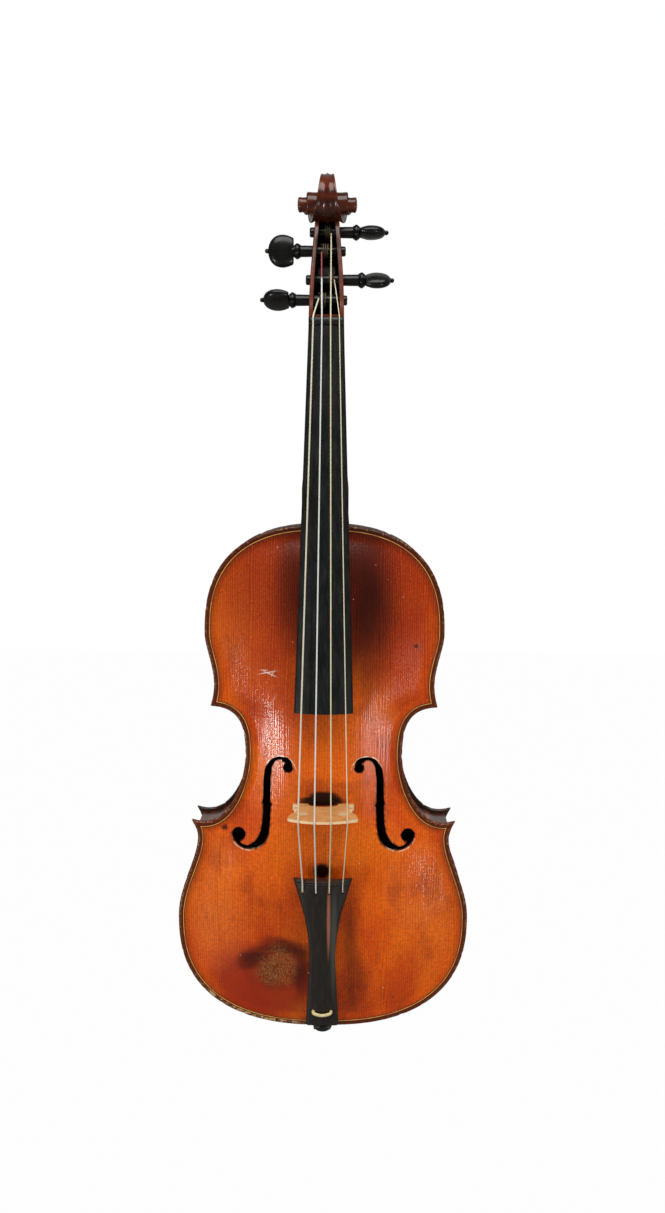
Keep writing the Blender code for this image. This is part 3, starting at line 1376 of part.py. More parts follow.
def string_route(name):
    """The string's points from inside the tailpiece, over the bridge and the nut, to its peg."""
    radius = STRING_RADII[name]
    clear = radius + STRING_GAP
    tail_x = string_x(name, STRING_SPREAD_AT_TAIL)
    bridge_x = string_x(name, STRING_SPREAD_AT_BRIDGE)
    nut_x = string_x(name, STRING_SPREAD_AT_NUT)
    hole = TAILPIECE_HEAD - STRING_HOLE_INSET
    fret = TAILPIECE_HEAD - TAIL_FRET_INSET
    bridge_s = BODY_STOP - BRIDGE_FOOT_THICKNESS / 2 + BRIDGE_TOP_THICKNESS / 2
    on_tail = tail_top(hole) - bow_drop(tail_x, TAILPIECE_RADIUS)
    on_fret = tail_top(fret) - bow_drop(tail_x, TAILPIECE_RADIUS) + GLUE_GAP + TAIL_FRET_RISE + clear
    on_bridge = crown_height(bridge_x) + clear
    on_nut = nut_top(nut_x) + clear
    leaving = NUT_HEIGHT + NUT_THICKNESS + STRING_GAP
    points = [
        (tail_x, hole, on_tail - 0.0030), (tail_x, hole, on_tail), (tail_x, hole + 0.0008, on_tail + 0.0010),
        (tail_x, fret - 0.0015, on_fret - 0.0004), (tail_x, fret + 0.0005, on_fret),
        (bridge_x, bridge_s - 0.0010, on_bridge - 0.0001), (bridge_x, bridge_s + 0.0010, on_bridge + 0.0001),
        (nut_x, NUT_HEIGHT, on_nut), (nut_x, NUT_HEIGHT + NUT_THICKNESS / 2, on_nut),
        (nut_x, leaving, on_nut - NUT_REAR_DROP / 2),
    ]
    winding, _, last = winding_facts(name)
    s, h = peg_centre(name)
    swept = winding + 2 * radius + STRING_GAP
    start = np.array([leaving, on_nut - NUT_REAR_DROP / 2])
    centre = np.array([s, h])
    away = centre - start
    distance = np.hypot(*away)
    lift = math.asin(winding / distance)
    bearing = math.atan2(away[1], away[0]) + lift
    straight = distance * math.cos(lift) - math.sqrt(swept**2 - winding**2)
    end = start + straight * np.array([math.cos(bearing), math.sin(bearing)])
    points.append((last, end[0], end[1]))
    return [at(*point) for point in points]


def make_strings():
    for name in STRING_NAMES:
        tube("string_" + name, string_route(name), STRING_RADII[name], GUT, resolution=1)


def main():
    belly, back = make_plates()
    bore = make_ribs()
    make_linings()
    make_blocks(bore)
    make_bass_bar(belly)
    make_sound_post(belly, back)
    neck = make_neck()
    make_head(neck)
    make_fingerboard()
    make_nut()
    for name in PEG_HEIGHTS:
        make_peg(name)
        make_winding(name)
    make_bridge(belly)
    make_tailpiece()
    make_saddle()
    tube("tailgut", tailgut_route(), TAILGUT_RADIUS, GUT, closed=True, resolution=1)
    make_end_button()
    make_strings()


main()
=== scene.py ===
# %% [markdown]
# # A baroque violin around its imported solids
# The violin hangs upright, as from a wall hanger, with its belly towards the camera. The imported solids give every
# piece its size and place. This lesson puts finer surfaces over them, and finishes each one as the real wood, gut or
# silk is finished.

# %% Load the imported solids
import math

import bmesh
import bpy
import numpy as np
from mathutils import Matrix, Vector


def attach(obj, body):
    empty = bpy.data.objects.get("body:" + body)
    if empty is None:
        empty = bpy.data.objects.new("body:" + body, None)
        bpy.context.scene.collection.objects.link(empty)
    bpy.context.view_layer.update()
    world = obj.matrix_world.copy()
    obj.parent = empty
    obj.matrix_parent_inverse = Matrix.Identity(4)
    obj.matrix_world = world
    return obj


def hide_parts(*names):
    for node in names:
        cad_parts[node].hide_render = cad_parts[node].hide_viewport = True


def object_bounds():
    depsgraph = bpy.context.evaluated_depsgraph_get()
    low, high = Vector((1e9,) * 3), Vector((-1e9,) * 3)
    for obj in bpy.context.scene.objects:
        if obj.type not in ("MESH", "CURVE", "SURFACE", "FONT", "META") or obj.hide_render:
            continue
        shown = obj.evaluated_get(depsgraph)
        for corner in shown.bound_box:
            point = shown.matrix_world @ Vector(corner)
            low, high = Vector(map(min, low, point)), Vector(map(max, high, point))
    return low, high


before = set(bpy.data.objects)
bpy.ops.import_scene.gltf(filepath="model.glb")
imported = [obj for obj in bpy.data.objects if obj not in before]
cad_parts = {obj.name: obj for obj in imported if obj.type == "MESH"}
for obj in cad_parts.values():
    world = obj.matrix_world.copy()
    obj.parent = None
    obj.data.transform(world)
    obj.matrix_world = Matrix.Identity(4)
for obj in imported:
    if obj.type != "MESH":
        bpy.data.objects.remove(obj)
cad_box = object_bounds()

# %% [markdown]
# ## Places on a violin
# A maker measures up the body from its lower edge, and out from the flat plane where the ribs meet the belly. So a
# place here is (x, s, h): x across from the centre line, s up and h out. One function turns such places into world
# points, as whole arrays, and everything else in the lesson is written in the maker's terms.

# %% The maker's coordinates
HANGER_DEPTH = 0.0160
HANGER_HEIGHT = 0.5560
BODY_LENGTH = 0.355
NECK_LENGTH = 0.1325
NUT_HEIGHT = BODY_LENGTH + NECK_LENGTH
RIB_HEIGHT = 0.0305


def place(x, s, h):
    """World points for x across, s up and h out: y is -(h + the hanger's depth), z is s less its height."""
    x, s, h = np.broadcast_arrays(x, s, h)
    return np.stack([x, -(h + HANGER_DEPTH), s - HANGER_HEIGHT], axis=-1)


print("the nut lies at", place(0, NUT_HEIGHT, 0).round(4))

# %% [markdown]
# ## The camera
# The photograph was taken from a little above the height of the body's upper edge, looking slightly down, with a lens
# about as wide as a phone's. Matching the places of the nut, the corners, the f-holes and the scroll gave this camera.

# %% Camera
PHOTO_SIZE = (665, 1213)
CAMERA_PLACE = (0.00895648, -0.83600003, -0.16838889)
CAMERA_TURN = (83.82815478, -0.37948763, 0.29384063)

lens = bpy.data.cameras.new("camera")
lens.lens = 35.6485065
lens.sensor_width = 36.0
camera = bpy.data.objects.new("camera", lens)
camera.location = CAMERA_PLACE
camera.rotation_euler = [math.radians(angle) for angle in CAMERA_TURN]
bpy.context.scene.collection.objects.link(camera)
bpy.context.scene.camera = camera
bpy.context.scene.view_settings.view_transform = "Standard"
print("camera for a picture of", PHOTO_SIZE)

# %% [markdown]
# ## Materials are graphs
# A finish is a graph of small nodes that ends in the Principled shader. One function adds any node: it sets the
# node's own properties, fills the sockets that get a number or a colour, and links those that get another node's
# output. Colours are written as the eye names them, in sRGB hex, and turned to the linear light that Blender mixes.

# %% One function for colours and one for nodes


def linear(code):
    """The linear colour of an sRGB hex code: each channel c becomes ((c + 0.055) / 1.055) to the power 2.4."""
    channels = [int(code[i : i + 2], 16) / 255 for i in (1, 3, 5)]
    return (*[c / 12.92 if c < 0.04045 else ((c + 0.055) / 1.055) ** 2.4 for c in channels], 1.0)


def add(graph, kind, sockets=None, stops=None, out=0, **settings):
    """Adds a shader node with its properties, fills each named socket with a value, a colour or a link, and gives one
    of its outputs."""
    node = graph.nodes.new("ShaderNode" + kind)
    for key, value in settings.items():
        setattr(node, key, value)
    for key, value in (sockets or {}).items():
        if isinstance(value, bpy.types.NodeSocket):
            graph.links.new(value, node.inputs[key])
        else:
            node.inputs[key].default_value = linear(value) if isinstance(value, str) else value
    if stops:
        ramp = node.color_ramp.elements
        while len(ramp) < len(stops):
            ramp.new(0.5)
        for element, (position, code) in zip(ramp, stops):
            element.position = position
            element.color = linear(code)
    return node.outputs[out] if len(node.outputs) else node


def new_finish(name, **constants):
    """A material whose Principled shader has these constant values, and its graph, with nothing else in it."""
    material = bpy.data.materials.new(name)
    material.use_nodes = True
    shader = material.node_tree.nodes["Principled BSDF"]
    for key, value in constants.items():
        socket = shader.inputs[key.replace("_", " ")]
        socket.default_value = linear(value) if isinstance(value, str) else value
    return material, material.node_tree, shader


def plug(shader, **outputs):
    """Links each output into the shader's socket of that name."""
    for key, output in outputs.items():
        shader.id_data.links.new(output, shader.inputs[key.replace("_", " ")])


print("linear light of #c54b14:", [round(c, 3) for c in linear("#c54b14")])

# %% [markdown]
# ## A light room
# The violin is seen against white. For the camera the world is plain white, and as a light it is a soft room. Its
# mirror image is nearly black in front of the violin and grey behind it, because a white room would lay a milky veil
# over the varnish. The floor far below is grey paint, and to the camera it is almost wholly white, so that only a trace
# of the violin's shadow shows on it.

# %% World and floor
ROOM_LIGHT = 0.60
ROOM_GLOSS = 0.05
GLOSS_BEHIND = 0.40
FLOOR_DROP = 0.60
FLOOR_GLOW = 0.985

world = bpy.data.worlds.new("white_room")
bpy.context.scene.world = world
world.use_nodes = True
room = world.node_tree
room.nodes.clear()
camera_ray, diffuse_ray, glossy_ray, clear_ray = (
    add(room, "LightPath", out=f"Is {kind} Ray") for kind in ("Camera", "Diffuse", "Glossy", "Transmission"))
facing = add(room, "SeparateXYZ", {0: add(room, "TexCoord", out="Generated")}, out="Y")
behind = add(room, "MapRange", {"Value": facing, "From Min": 0.2, "From Max": 0.95,
                                          "To Min": ROOM_GLOSS, "To Max": GLOSS_BEHIND})
gloss = add(room, "Math", {0: glossy_ray, 1: behind}, operation="MULTIPLY")
matt = add(room, "Math", {0: diffuse_ray, 1: ROOM_LIGHT}, operation="MULTIPLY")
clear = add(room, "Math", {0: camera_ray, 1: clear_ray}, operation="MAXIMUM")
seen = add(room, "Math", {0: clear, 1: gloss}, operation="MAXIMUM")
strength = add(room, "Math", {0: seen, 1: matt}, operation="MAXIMUM")
light = add(room, "Background", {"Color": "#ffffff", "Strength": strength})
add(room, "OutputWorld", {"Surface": light})

paint, paint_graph, paint_shader = new_finish("pale_floor_paint", Base_Color="#7c7c7a", Roughness=0.9)
to_camera = add(paint_graph, "LightPath", out="Is Camera Ray")
share = add(paint_graph, "Math", {0: to_camera, 1: FLOOR_GLOW}, operation="MULTIPLY")
glow = add(paint_graph, "Emission", {"Color": "#ffffff", "Strength": 1.0})
both = add(paint_graph, "MixShader", {0: share, 1: paint_shader.outputs[0], 2: glow})
add(paint_graph, "OutputMaterial", {"Surface": both}, is_active_output=True)

bpy.ops.mesh.primitive_plane_add(size=12, location=(0, 0, cad_box[0][2] - FLOOR_DROP))
floor = bpy.context.object
floor.name = "floor"
floor.data.materials.append(paint)
print("floor at", round(floor.location.z, 3))

# %% [markdown]
# ## The lamps
# Two soft boxes stand low on the left and right, behind the camera, as in a photographer's room. They give the pale
# upright streaks along the flanks of the belly, where its arching mirrors them, and the left one is the brighter. A
# third above fills the rest, so that a matt colour facing the camera comes out near the one that is written.

# %% Soft boxes


def soft_box(name, spot, size, watts, target=(0, -0.03, -0.2)):
    """A rectangular area lamp at a spot, turned to face the target."""
    lamp = bpy.data.lights.new(name, "AREA")
    lamp.shape = "RECTANGLE"
    lamp.size, lamp.size_y = size
    lamp.energy = watts
    thing = bpy.data.objects.new(name, lamp)
    thing.location = spot
    thing.rotation_euler = (Vector(target) - Vector(spot)).to_track_quat("-Z", "Y").to_euler()
    bpy.context.scene.collection.objects.link(thing)


LOWER_BOUTS = (0, -0.03, -0.35)
soft_box("left_soft_box", (-1.15, -1.00, -0.81), (0.15, 0.34), 5.3, LOWER_BOUTS)
soft_box("right_soft_box", (1.06, -1.11, -0.80), (0.20, 0.32), 2.4, LOWER_BOUTS)
soft_box("top_soft_box", (0.1, -0.85, 1.25), (2.2, 1.1), 28)
print("three soft boxes")

# %% [markdown]
# ## Surfaces from arrays
# Every new piece is a surface worked out with numpy: rows of points, each row a line across the piece or round it.
# These helpers number the points row by row, join them with quads, and close the ends.

# %% Helpers for surfaces
SAME_POINT = 2e-6


def grid_quads(rows, columns, wrap=False, offset=0):
    """Quads of a grid numbered row by row: corner (i, j) joins (i, j + 1), (i + 1, j + 1) and (i + 1, j)."""
    i = np.arange(rows - 1)[:, None] * columns
    j = np.arange(columns if wrap else columns - 1)[None, :]
    k = (j + 1) % columns
    quads = np.stack([i + j, i + k, i + columns + k, i + columns + j], axis=-1)
    return (quads.reshape(-1, 4) + offset).tolist()


def make_mesh(name, points, faces, sharp=40, **layers):
    """A mesh with its doubles merged, its faces turned outwards and its edges sharp above an angle."""
    mesh = bpy.data.meshes.new(name)
    mesh.from_pydata(np.asarray(points, float).reshape(-1, 3).tolist(), [], faces)
    for layer, values in layers.items():
        stored = mesh.attributes.new(layer, "FLOAT", "POINT")
        stored.data.foreach_set("value", np.asarray(values, np.float32).ravel())
    shape = bmesh.new()
    shape.from_mesh(mesh)
    bmesh.ops.remove_doubles(shape, verts=shape.verts, dist=SAME_POINT)
    bmesh.ops.dissolve_degenerate(shape, edges=shape.edges, dist=1e-7)
    bmesh.ops.recalc_face_normals(shape, faces=shape.faces)
    if shape.calc_volume(signed=True) < 0:
        bmesh.ops.reverse_faces(shape, faces=shape.faces)
    shape.to_mesh(mesh)
    shape.free()
    mesh.shade_smooth()
    mesh.set_sharp_from_angle(angle=math.radians(sharp))
    return mesh


def new_piece(name, mesh, finish, solid, body="violin"):
    """An object for the mesh that rides on a body, takes a finish and stands for the named solid."""
    mesh.materials.clear()
    mesh.materials.append(finish)
    piece = bpy.data.objects.new(name, mesh)
    bpy.context.scene.collection.objects.link(piece)
    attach(piece, body)
    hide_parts(solid)
    print(f"{name}: {len(mesh.polygons)} faces")
    return piece


def lofted(name, sections, sharp=40, **layers):
    """A closed mesh through equally long closed cross-sections, with a flat face at each end."""
    sections = np.asarray(sections, float)
    rows, columns = sections.shape[:2]
    faces = grid_quads(rows, columns, wrap=True)
    faces.append(list(range(columns)))
    faces.append(list(range((rows - 1) * columns, rows * columns)))
    return make_mesh(name, sections, faces, sharp=sharp, **layers)


def once_round(steps):
    """Equal angles once round a circle."""
    return np.linspace(0, 2 * np.pi, steps, endpoint=False)


def cubic(u, start, leaving, end, arriving):
    """The cubic from start to end as u goes from 0 to 1, with the given slopes at its two ends."""
    return ((2 * u**3 - 3 * u**2 + 1) * start + (u**3 - 2 * u**2 + u) * leaving
            + (3 * u**2 - 2 * u**3) * end + (u**3 - u**2) * arriving)


def smooth_rows(rows, count):
    """More rows between the given ones, on a cubic through each number with slopes that never overshoot."""
    rows = np.asarray(rows, float)
    steps = np.diff(rows, axis=0)
    before = np.concatenate([steps[:1], steps])
    after = np.concatenate([steps, steps[-1:]])
    mean = 2 * before * after / np.where(np.abs(before + after) < 1e-12, 1e-12, before + after)
    slope = np.where(before * after > 0, mean, 0.0)
    place_in = np.linspace(0, len(rows) - 1, count)
    low = np.minimum(place_in.astype(int), len(rows) - 2)
    u = (place_in - low).reshape(-1, *[1] * (rows.ndim - 1))
    return cubic(u, rows[low], slope[low], rows[low + 1], slope[low + 1])


print("a 3 by 4 grid has", len(grid_quads(3, 4)), "quads")

# %% [markdown]
# ## Words for patterns
# Real wood is never one colour. Its year lines, clouds of stain, worn places and dirt all have sizes in millimetres and
# places on the violin, and so do the shadows and highlights that are painted on it. These few helpers say such things
# once: clouds of a real size, a soft patch at a place in the maker's terms, and a colour laid over another wherever its
# masks allow.

# %% Clouds, patches and stains


def coordinates(graph, size=(1, 1, 1), centre=(0, 0, 0), tilt=0):
    """The piece's own place less a centre, tilted by degrees as seen from the front, and counted in sizes given in
    metres along each axis."""
    return add(graph, "Mapping", {"Vector": add(graph, "TexCoord", out="Object"), "Scale": size,
                                            "Location": centre, "Rotation": (0, math.radians(-tilt), 0)},
               vector_type="TEXTURE")


def clouds(graph, size, low=0.0, high=1.0, detail=3.0, roughness=0.55, centre=(0, 0, 0)):
    """Noise of a real size, 0 below the low level and 1 above the high one, with a smooth step between."""
    level = add(graph, "TexNoise", {"Vector": coordinates(graph, size, centre), "Scale": 1.0,
                                              "Detail": detail, "Roughness": roughness})
    return add(graph, "MapRange", {"Value": level, "From Min": low, "From Max": high},
               interpolation_type="SMOOTHSTEP")


def patch(graph, x, s, wide, tall, inner=0.2, ragged=0.3, tilt=0):
    """A soft ellipse on the front of the violin: 1 within an inner share of its reach, and 0 from its ragged rim."""
    spot = coordinates(graph, (wide, 10.0, tall), (x, 0, s - HANGER_HEIGHT), tilt)
    far = add(graph, "VectorMath", {0: spot}, out="Value", operation="LENGTH")
    wander = clouds(graph, (wide / 2, wide / 2, tall / 2), 0.0, 1.0, 4.0)
    far = add(graph, "Math", {0: wander, 1: 2 * ragged, 2: far}, operation="MULTIPLY_ADD")
    return add(graph, "MapRange", {"Value": far, "From Min": 1 + ragged, "From Max": inner + ragged},
               interpolation_type="SMOOTHSTEP")


def laid_over(graph, under, stain, amount, *masks):
    """A colour laid over another by an amount, where every mask allows it: a stain, or a painted shadow or highlight.
    """
    for mask in masks:
        amount = add(graph, "Math", {0: mask, 1: amount}, operation="MULTIPLY")
    return add(graph, "Mix", {"Factor": amount, 6: under, 7: stain}, out=2, data_type="RGBA")


# %% [markdown]
# ## Varnished spruce
# The belly is spruce under an old oil varnish. The eye sees deep orange with clouds of red and brown, fine upright year
# lines broken into dots, near-black beside the fingerboard, partly dark varnish and partly painted shade of the board,
# and a dark red worn patch on the left of the tailpiece. Painted shadows of the bridge and the tailpiece lie on the
# belly too. Each layer is laid over the last with its own masks, from the wide clouds to the smallest chips.

# %% Varnished spruce
YEAR_LINE = 0.0015
FINE_CRACKLE = 0.0007


def patched(graph, colour, rows):
    """The colour after one layer for each row, which gives the layer's colour, its amount, and the patch that it
    covers.
    """
    for stain, amount, *spot in rows:
        colour = laid_over(graph, colour, stain, amount, patch(graph, *spot))
    return colour


spruce, graph, shader = new_finish("oil_varnished_spruce", Roughness=0.40, Specular_IOR_Level=0.12, Coat_Weight=0.9,
                                   Coat_Roughness=0.125, Coat_IOR=1.5)
colour = add(graph, "ValToRGB", {"Fac": clouds(graph, (0.045, 0.045, 0.070), 0.25, 0.75, 4.0)},
             stops=[(0.0, "#c03604"), (0.4, "#dc4c03"), (0.7, "#f06204"), (1.0, "#fa7406")])
colour = patched(graph, colour, [
    ("#942002", 0.92, 0, 0.330, 0.12, 0.106, 0.35, 0.1), ("#ff7614", 0.80, 0, 0.178, 0.050, 0.095),
    ("#b8400c", 0.50, -0.05, 0.275, 0.04, 0.06), ("#ff7a18", 0.60, 0, 0.136, 0.038, 0.024),
    ("#fa7c1a", 0.60, -0.076, 0.095, 0.034, 0.076), ("#fa7c1a", 0.60, 0.076, 0.090, 0.034, 0.076),
    ("#b03404", 0.60, -0.028, 0.070, 0.030, 0.045)])
colour = laid_over(graph, colour, "#9a2e06", 0.45, clouds(graph, (0.022, 1.0, 0.034), 0.50, 0.68, 4.0, 0.65))
# painted shadow: a soft dark red band round the bridge's feet and just above them stands for the bridge's shadow
colour = patched(graph, colour, [("#7a2406", 0.55, 0, 0.1735, 0.032, 0.013, 0.2, 0.4)])

# %% Year lines
# a year line is a wave across the belly, 1 + sin(2 pi (x / pitch + wander)) over 2, drawn a little coarser than it is
wander = clouds(graph, (0.010, 1.0, 0.120), 0.0, 1.0, 2.0)
across = add(graph, "SeparateXYZ", {0: coordinates(graph, (YEAR_LINE, 1, 1))}, out="X")
turns = add(graph, "Math", {0: wander, 1: 3.0, 2: across}, operation="MULTIPLY_ADD")
angle = add(graph, "Math", {0: turns, 1: 2 * math.pi}, operation="MULTIPLY")
wave = add(graph, "Math", {0: angle}, operation="SINE")
lines = add(graph, "Math", {0: wave, 1: 0.5, 2: 0.5}, operation="MULTIPLY_ADD")
dotted = clouds(graph, (YEAR_LINE * 0.7, 1.0, FINE_CRACKLE * 2.5), 0.36, 0.64, 2.0, 0.6)
pale = add(graph, "MapRange", {"Value": lines, "From Min": 0.55, "From Max": 1.0})
dark = add(graph, "MapRange", {"Value": lines, "From Min": 0.50, "From Max": 0.0})
colour = laid_over(graph, colour, "#f8922c", 0.28, pale, dotted)
colour = laid_over(graph, colour, "#641604", 0.28, dark, clouds(graph, (0.012, 1.0, 0.030), 0.25, 0.60, 2.0))
crackle = clouds(graph, (FINE_CRACKLE * 3.5, 1.0, FINE_CRACKLE * 2.5), 0.34, 0.66, 3.0, 0.65)
colour = laid_over(graph, colour, "#6e1c04", 0.30, crackle)

# %% Painted shadows, and dark and worn places
# dark bands beside the fingerboard, partly dark varnish and partly painted shade of the board, and painted shadows of
# the tailpiece beside it and above it
colour = patched(graph, colour, [("#210502", amount, *spot, 0.1, 0.15) for amount, *spot in (
    (0.84, 0.030, 0.297, 0.028, 0.080), (0.66, -0.021, 0.315, 0.020, 0.062), (0.60, 0.024, 0.330, 0.030, 0.045),
    (0.60, -0.001, 0.116, 0.013, 0.012), (0.55, 0.020, 0.060, 0.010, 0.060), (0.45, 0.026, 0.035, 0.010, 0.030))])
# near-black painted shadows: a round one just above the tailpiece's head, and a low mound just above the bridge's feet
colour = patched(graph, colour, [("#0c0201", 0.98, *spot, 0.55, 0.12) for spot in (
    (-0.0006, 0.1165, 0.0068, 0.0070), (-0.001, 0.1660, 0.0220, 0.0042), (0.0005, 0.1682, 0.0135, 0.0064))])
# the worn patch is dark crimson, darkest along its upper rim, with bare specks in its middle. Beside the tailpiece's
# left edge a painted shadow of the tailpiece darkens it further
colour = patched(graph, colour, [("#9a240c", 0.85, -0.040, 0.034, 0.047, 0.040, 0.50, 0.12)])
# the spot at x -0.014 is that painted shadow beside the tailpiece, and the other three darken the worn patch, most
# along its upper rim
colour = patched(graph, colour, [("#260402", amount, *spot, 0.15, 0.25, tilt) for amount, tilt, *spot in (
    (0.80, 30, -0.048, 0.052, 0.022, 0.011), (0.80, -8, -0.026, 0.060, 0.024, 0.010),
    (0.75, 0, -0.014, 0.043, 0.012, 0.026), (0.55, 0, -0.034, 0.042, 0.024, 0.022))])
colour = laid_over(graph, colour, "#94743c", 0.62, patch(graph, -0.0315, 0.045, 0.020, 0.020, 0.35),
                 clouds(graph, (0.0008, 0.001, 0.0016), 0.44, 0.58, 3.0, 0.7))

# %% Scratches and specks in the varnish
SCRATCH_WIDTH = 0.00055

colour = patched(graph, colour, [("#2a0d06", 0.9, 0.0627, 0.2727, 0.0026, 0.0020),
                                 ("#2a0d06", 0.9, -0.0687, 0.1439, 0.0034, 0.0034)])
colour = patched(graph, colour, [("#f0ddd0", amount, *spot, SCRATCH_WIDTH, 0.3, 0.5, tilt) for amount, tilt, *spot in (
    (0.85, 12, -0.0385, 0.2545, 0.0085), (0.85, -22, -0.0370, 0.2535, 0.0070), (0.60, 65, -0.0350, 0.2540, 0.0040),
    (0.70, 0, -0.0410, 0.2560, 0.0035), (0.35, 60, -0.0350, 0.2350, 0.0065), (0.35, -50, -0.0378, 0.2330, 0.0040))])
spots = add(graph, "TexVoronoi", {"Vector": coordinates(graph, (0.0075, 0.0075, 0.0075)), "Scale": 1.0})
speck = add(graph, "MapRange", {"Value": spots, "From Min": 0.055, "From Max": 0.035})
colour = laid_over(graph, colour, "#efcfa8", 0.9, speck, clouds(graph, (0.040, 0.040, 0.040), 0.48, 0.60, 1.0))

# %% Worn edges, and painted shade on the knife-cut walls of the sound holes


def faded(graph, measure, start, end):
    """0 where a measure is at its start and 1 where it is at its end. The measure is the height up the violin, how far
    the surface faces back, or an attribute that the mesh carries."""
    lift = HANGER_HEIGHT if measure == "height" else 0
    if measure == "height":
        level_here = add(graph, "SeparateXYZ", {0: coordinates(graph)}, out="Z")
    elif measure == "facing":
        level_here = add(graph, "SeparateXYZ", {0: add(graph, "TexCoord", out="Normal")}, out="Y")
    else:
        level_here = add(graph, "Attribute", out="Fac", attribute_name=measure)
    return add(graph, "MapRange", {"Value": level_here, "From Min": start - lift, "From Max": end - lift})


outside = faded(graph, "inset", 0.0031, 0.0026)
colour = laid_over(graph, colour, "#4a1406", 0.42, faded(graph, "inset", 0.0090, 0.0040))
colour = laid_over(graph, colour, "#351508", 0.80, outside)
colour = laid_over(graph, colour, "#9a6a40", 0.85, faded(graph, "inset", 0.0022, 0.0006),
                 clouds(graph, (0.0016, 0.0016, 0.0016), 0.54, 0.62, 3.0, 0.7))
colour = laid_over(graph, colour, "#cca476", 0.85, outside, patch(graph, -0.046, 0.020, 0.055, 0.030, 0.5),
                 clouds(graph, (0.0030, 0.0030, 0.0030), 0.44, 0.58, 4.0, 0.7))
# painted shade: the cut walls are drawn darker than bare spruce is, so that the holes look black, as they do in the
# photograph
turned = add(graph, "SeparateXYZ", {0: add(graph, "TexCoord", out="Normal")}, out="Y")
upright = add(graph, "Math", {0: turned}, operation="ABSOLUTE")
cut = add(graph, "MapRange", {"Value": upright, "From Min": 0.45, "From Max": 0.25})
colour = laid_over(graph, colour, "#2a1409", 0.95, cut, faded(graph, "inset", 0.05, 0.10))

# %% Painted highlights at the curls, and the gloss
# painted highlights: thin pale lines beside the curls of the sound holes stand for light caught on their rounded edges.
# thin pale lines stand beside the curls of the sound holes in the photograph, and their cause isn't known. Each one is
# a ring where |distance / radius - 1.045| is near 0, kept to the upper or lower half of its curl
PAINTED_CURL_HIGHLIGHTS = ((0.0295, 0.1855, 0.0104, 0.1, 0.5, 0.80), (0.0522, 0.1417, 0.0118, -0.3, -0.7, 0.60))
for side in (-1, 1):
    for x, s, radius, low, high, amount in PAINTED_CURL_HIGHLIGHTS:
        spot = coordinates(graph, (radius, 10.0, radius), (side * x, 0, s - HANGER_HEIGHT))
        far = add(graph, "VectorMath", {0: spot}, out="Value", operation="LENGTH")
        off = add(graph, "Math", {0: far, 1: 1.045}, operation="SUBTRACT")
        off = add(graph, "Math", {0: off}, operation="ABSOLUTE")
        ring = add(graph, "MapRange", {"Value": off, "From Min": 0.055, "From Max": 0.020})
        upwards = add(graph, "SeparateXYZ", {0: spot}, out="Z")
        half = add(graph, "MapRange", {"Value": upwards, "From Min": low, "From Max": high})
        colour = laid_over(graph, colour, "#f2d8b4", amount, ring, half,
                         clouds(graph, (0.003, 0.003, 0.003), 0.36, 0.56, 2.0))
# full gloss is given only where the photograph shows pale streaks, and elsewhere the varnish is duller. The real
# violin may well be as glossy all over, and under other lamps its reflections would then fall in other places
shine = 0.40
for spot in ((-0.0325, 0.215, 0.0150, 0.075), (0.038, 0.212, 0.018, 0.065), (0.064, 0.100, 0.034, 0.042),
             (-0.072, 0.066, 0.030, 0.040)):
    shine = add(graph, "Math", {0: patch(graph, *spot, 0.4, 0.1), 1: shine}, operation="MAXIMUM")
relief = add(graph, "Math", {0: lines, 1: crackle}, operation="ADD")
uneven = add(graph, "Bump", {"Strength": 0.40, "Distance": 0.00010, "Height": relief})
dull = add(graph, "MapRange", {"Value": crackle, "To Min": 0.34, "To Max": 0.52})
plug(shader, Base_Color=colour, Coat_Weight=shine, Normal=uneven, Coat_Normal=uneven, Roughness=dull)
print(spruce.name, "has", len(graph.nodes), "nodes")

# %% [markdown]
# ## Flamed maple
# Back, ribs, neck and head are maple whose wavy fibres show as bright and dark bands across the grain, the flame. On
# the back and neck the bands cross the violin, and on the ribs they stand upright along the strip. The same wood and
# varnish therefore take one recipe with its bands stretched another way, and a wear of its own.

# %% Flamed maple
FLAME_WIDTH = 0.0048
FIBRE = 0.0006


def flamed_maple(name, bands, fibres, dark, middle, light, gloss, coat=(0.85, 0.16)):
    """A varnished maple whose flame has the given band sizes, from the dark to the light colour of each band."""
    finish, graph, shader = new_finish(name, Roughness=gloss, Specular_IOR_Level=0.15, Coat_Weight=coat[0],
                                       Coat_Roughness=coat[1], Coat_IOR=1.5)
    flame = clouds(graph, bands, 0.28, 0.72, 1.5, 0.4)
    colour = add(graph, "ValToRGB", {"Fac": flame}, stops=[(0.1, dark), (0.5, middle), (0.9, light)])
    colour = laid_over(graph, colour, dark, 0.45, clouds(graph, fibres, 0.50, 0.68, 3.0, 0.6))
    colour = laid_over(graph, colour, dark, 0.40, clouds(graph, (0.06, 0.06, 0.06), 0.45, 0.70, 3.0))
    relief = clouds(graph, fibres, 0.3, 0.7, 3.0, 0.6)
    plug(shader, Normal=add(graph, "Bump", {"Strength": 0.2, "Distance": 0.0001, "Height": relief}))
    return finish, graph, shader, colour


back_maple, graph, shader, colour = flamed_maple(
    "flamed_maple_of_the_back", (0.070, 0.070, FLAME_WIDTH), (FIBRE, FIBRE, 0.03), "#661f06", "#8c360b", "#b0521a",
    0.36)
colour = laid_over(graph, colour, "#2c1007", 0.75, faded(graph, "inset", 0.0031, 0.0026))
colour = patched(graph, colour, [("#b87c48", 0.30, 0, 0.19, 0.05, 0.13, 0.1, 0.4)])
# painted shade: its inner face is drawn darker than bare maple is, for the same reason as the cut walls, so that the
# sound holes look black
colour = laid_over(graph, colour, "#2c1c10", 0.92, faded(graph, "facing", -0.2, -0.5))
plug(shader, Base_Color=colour)

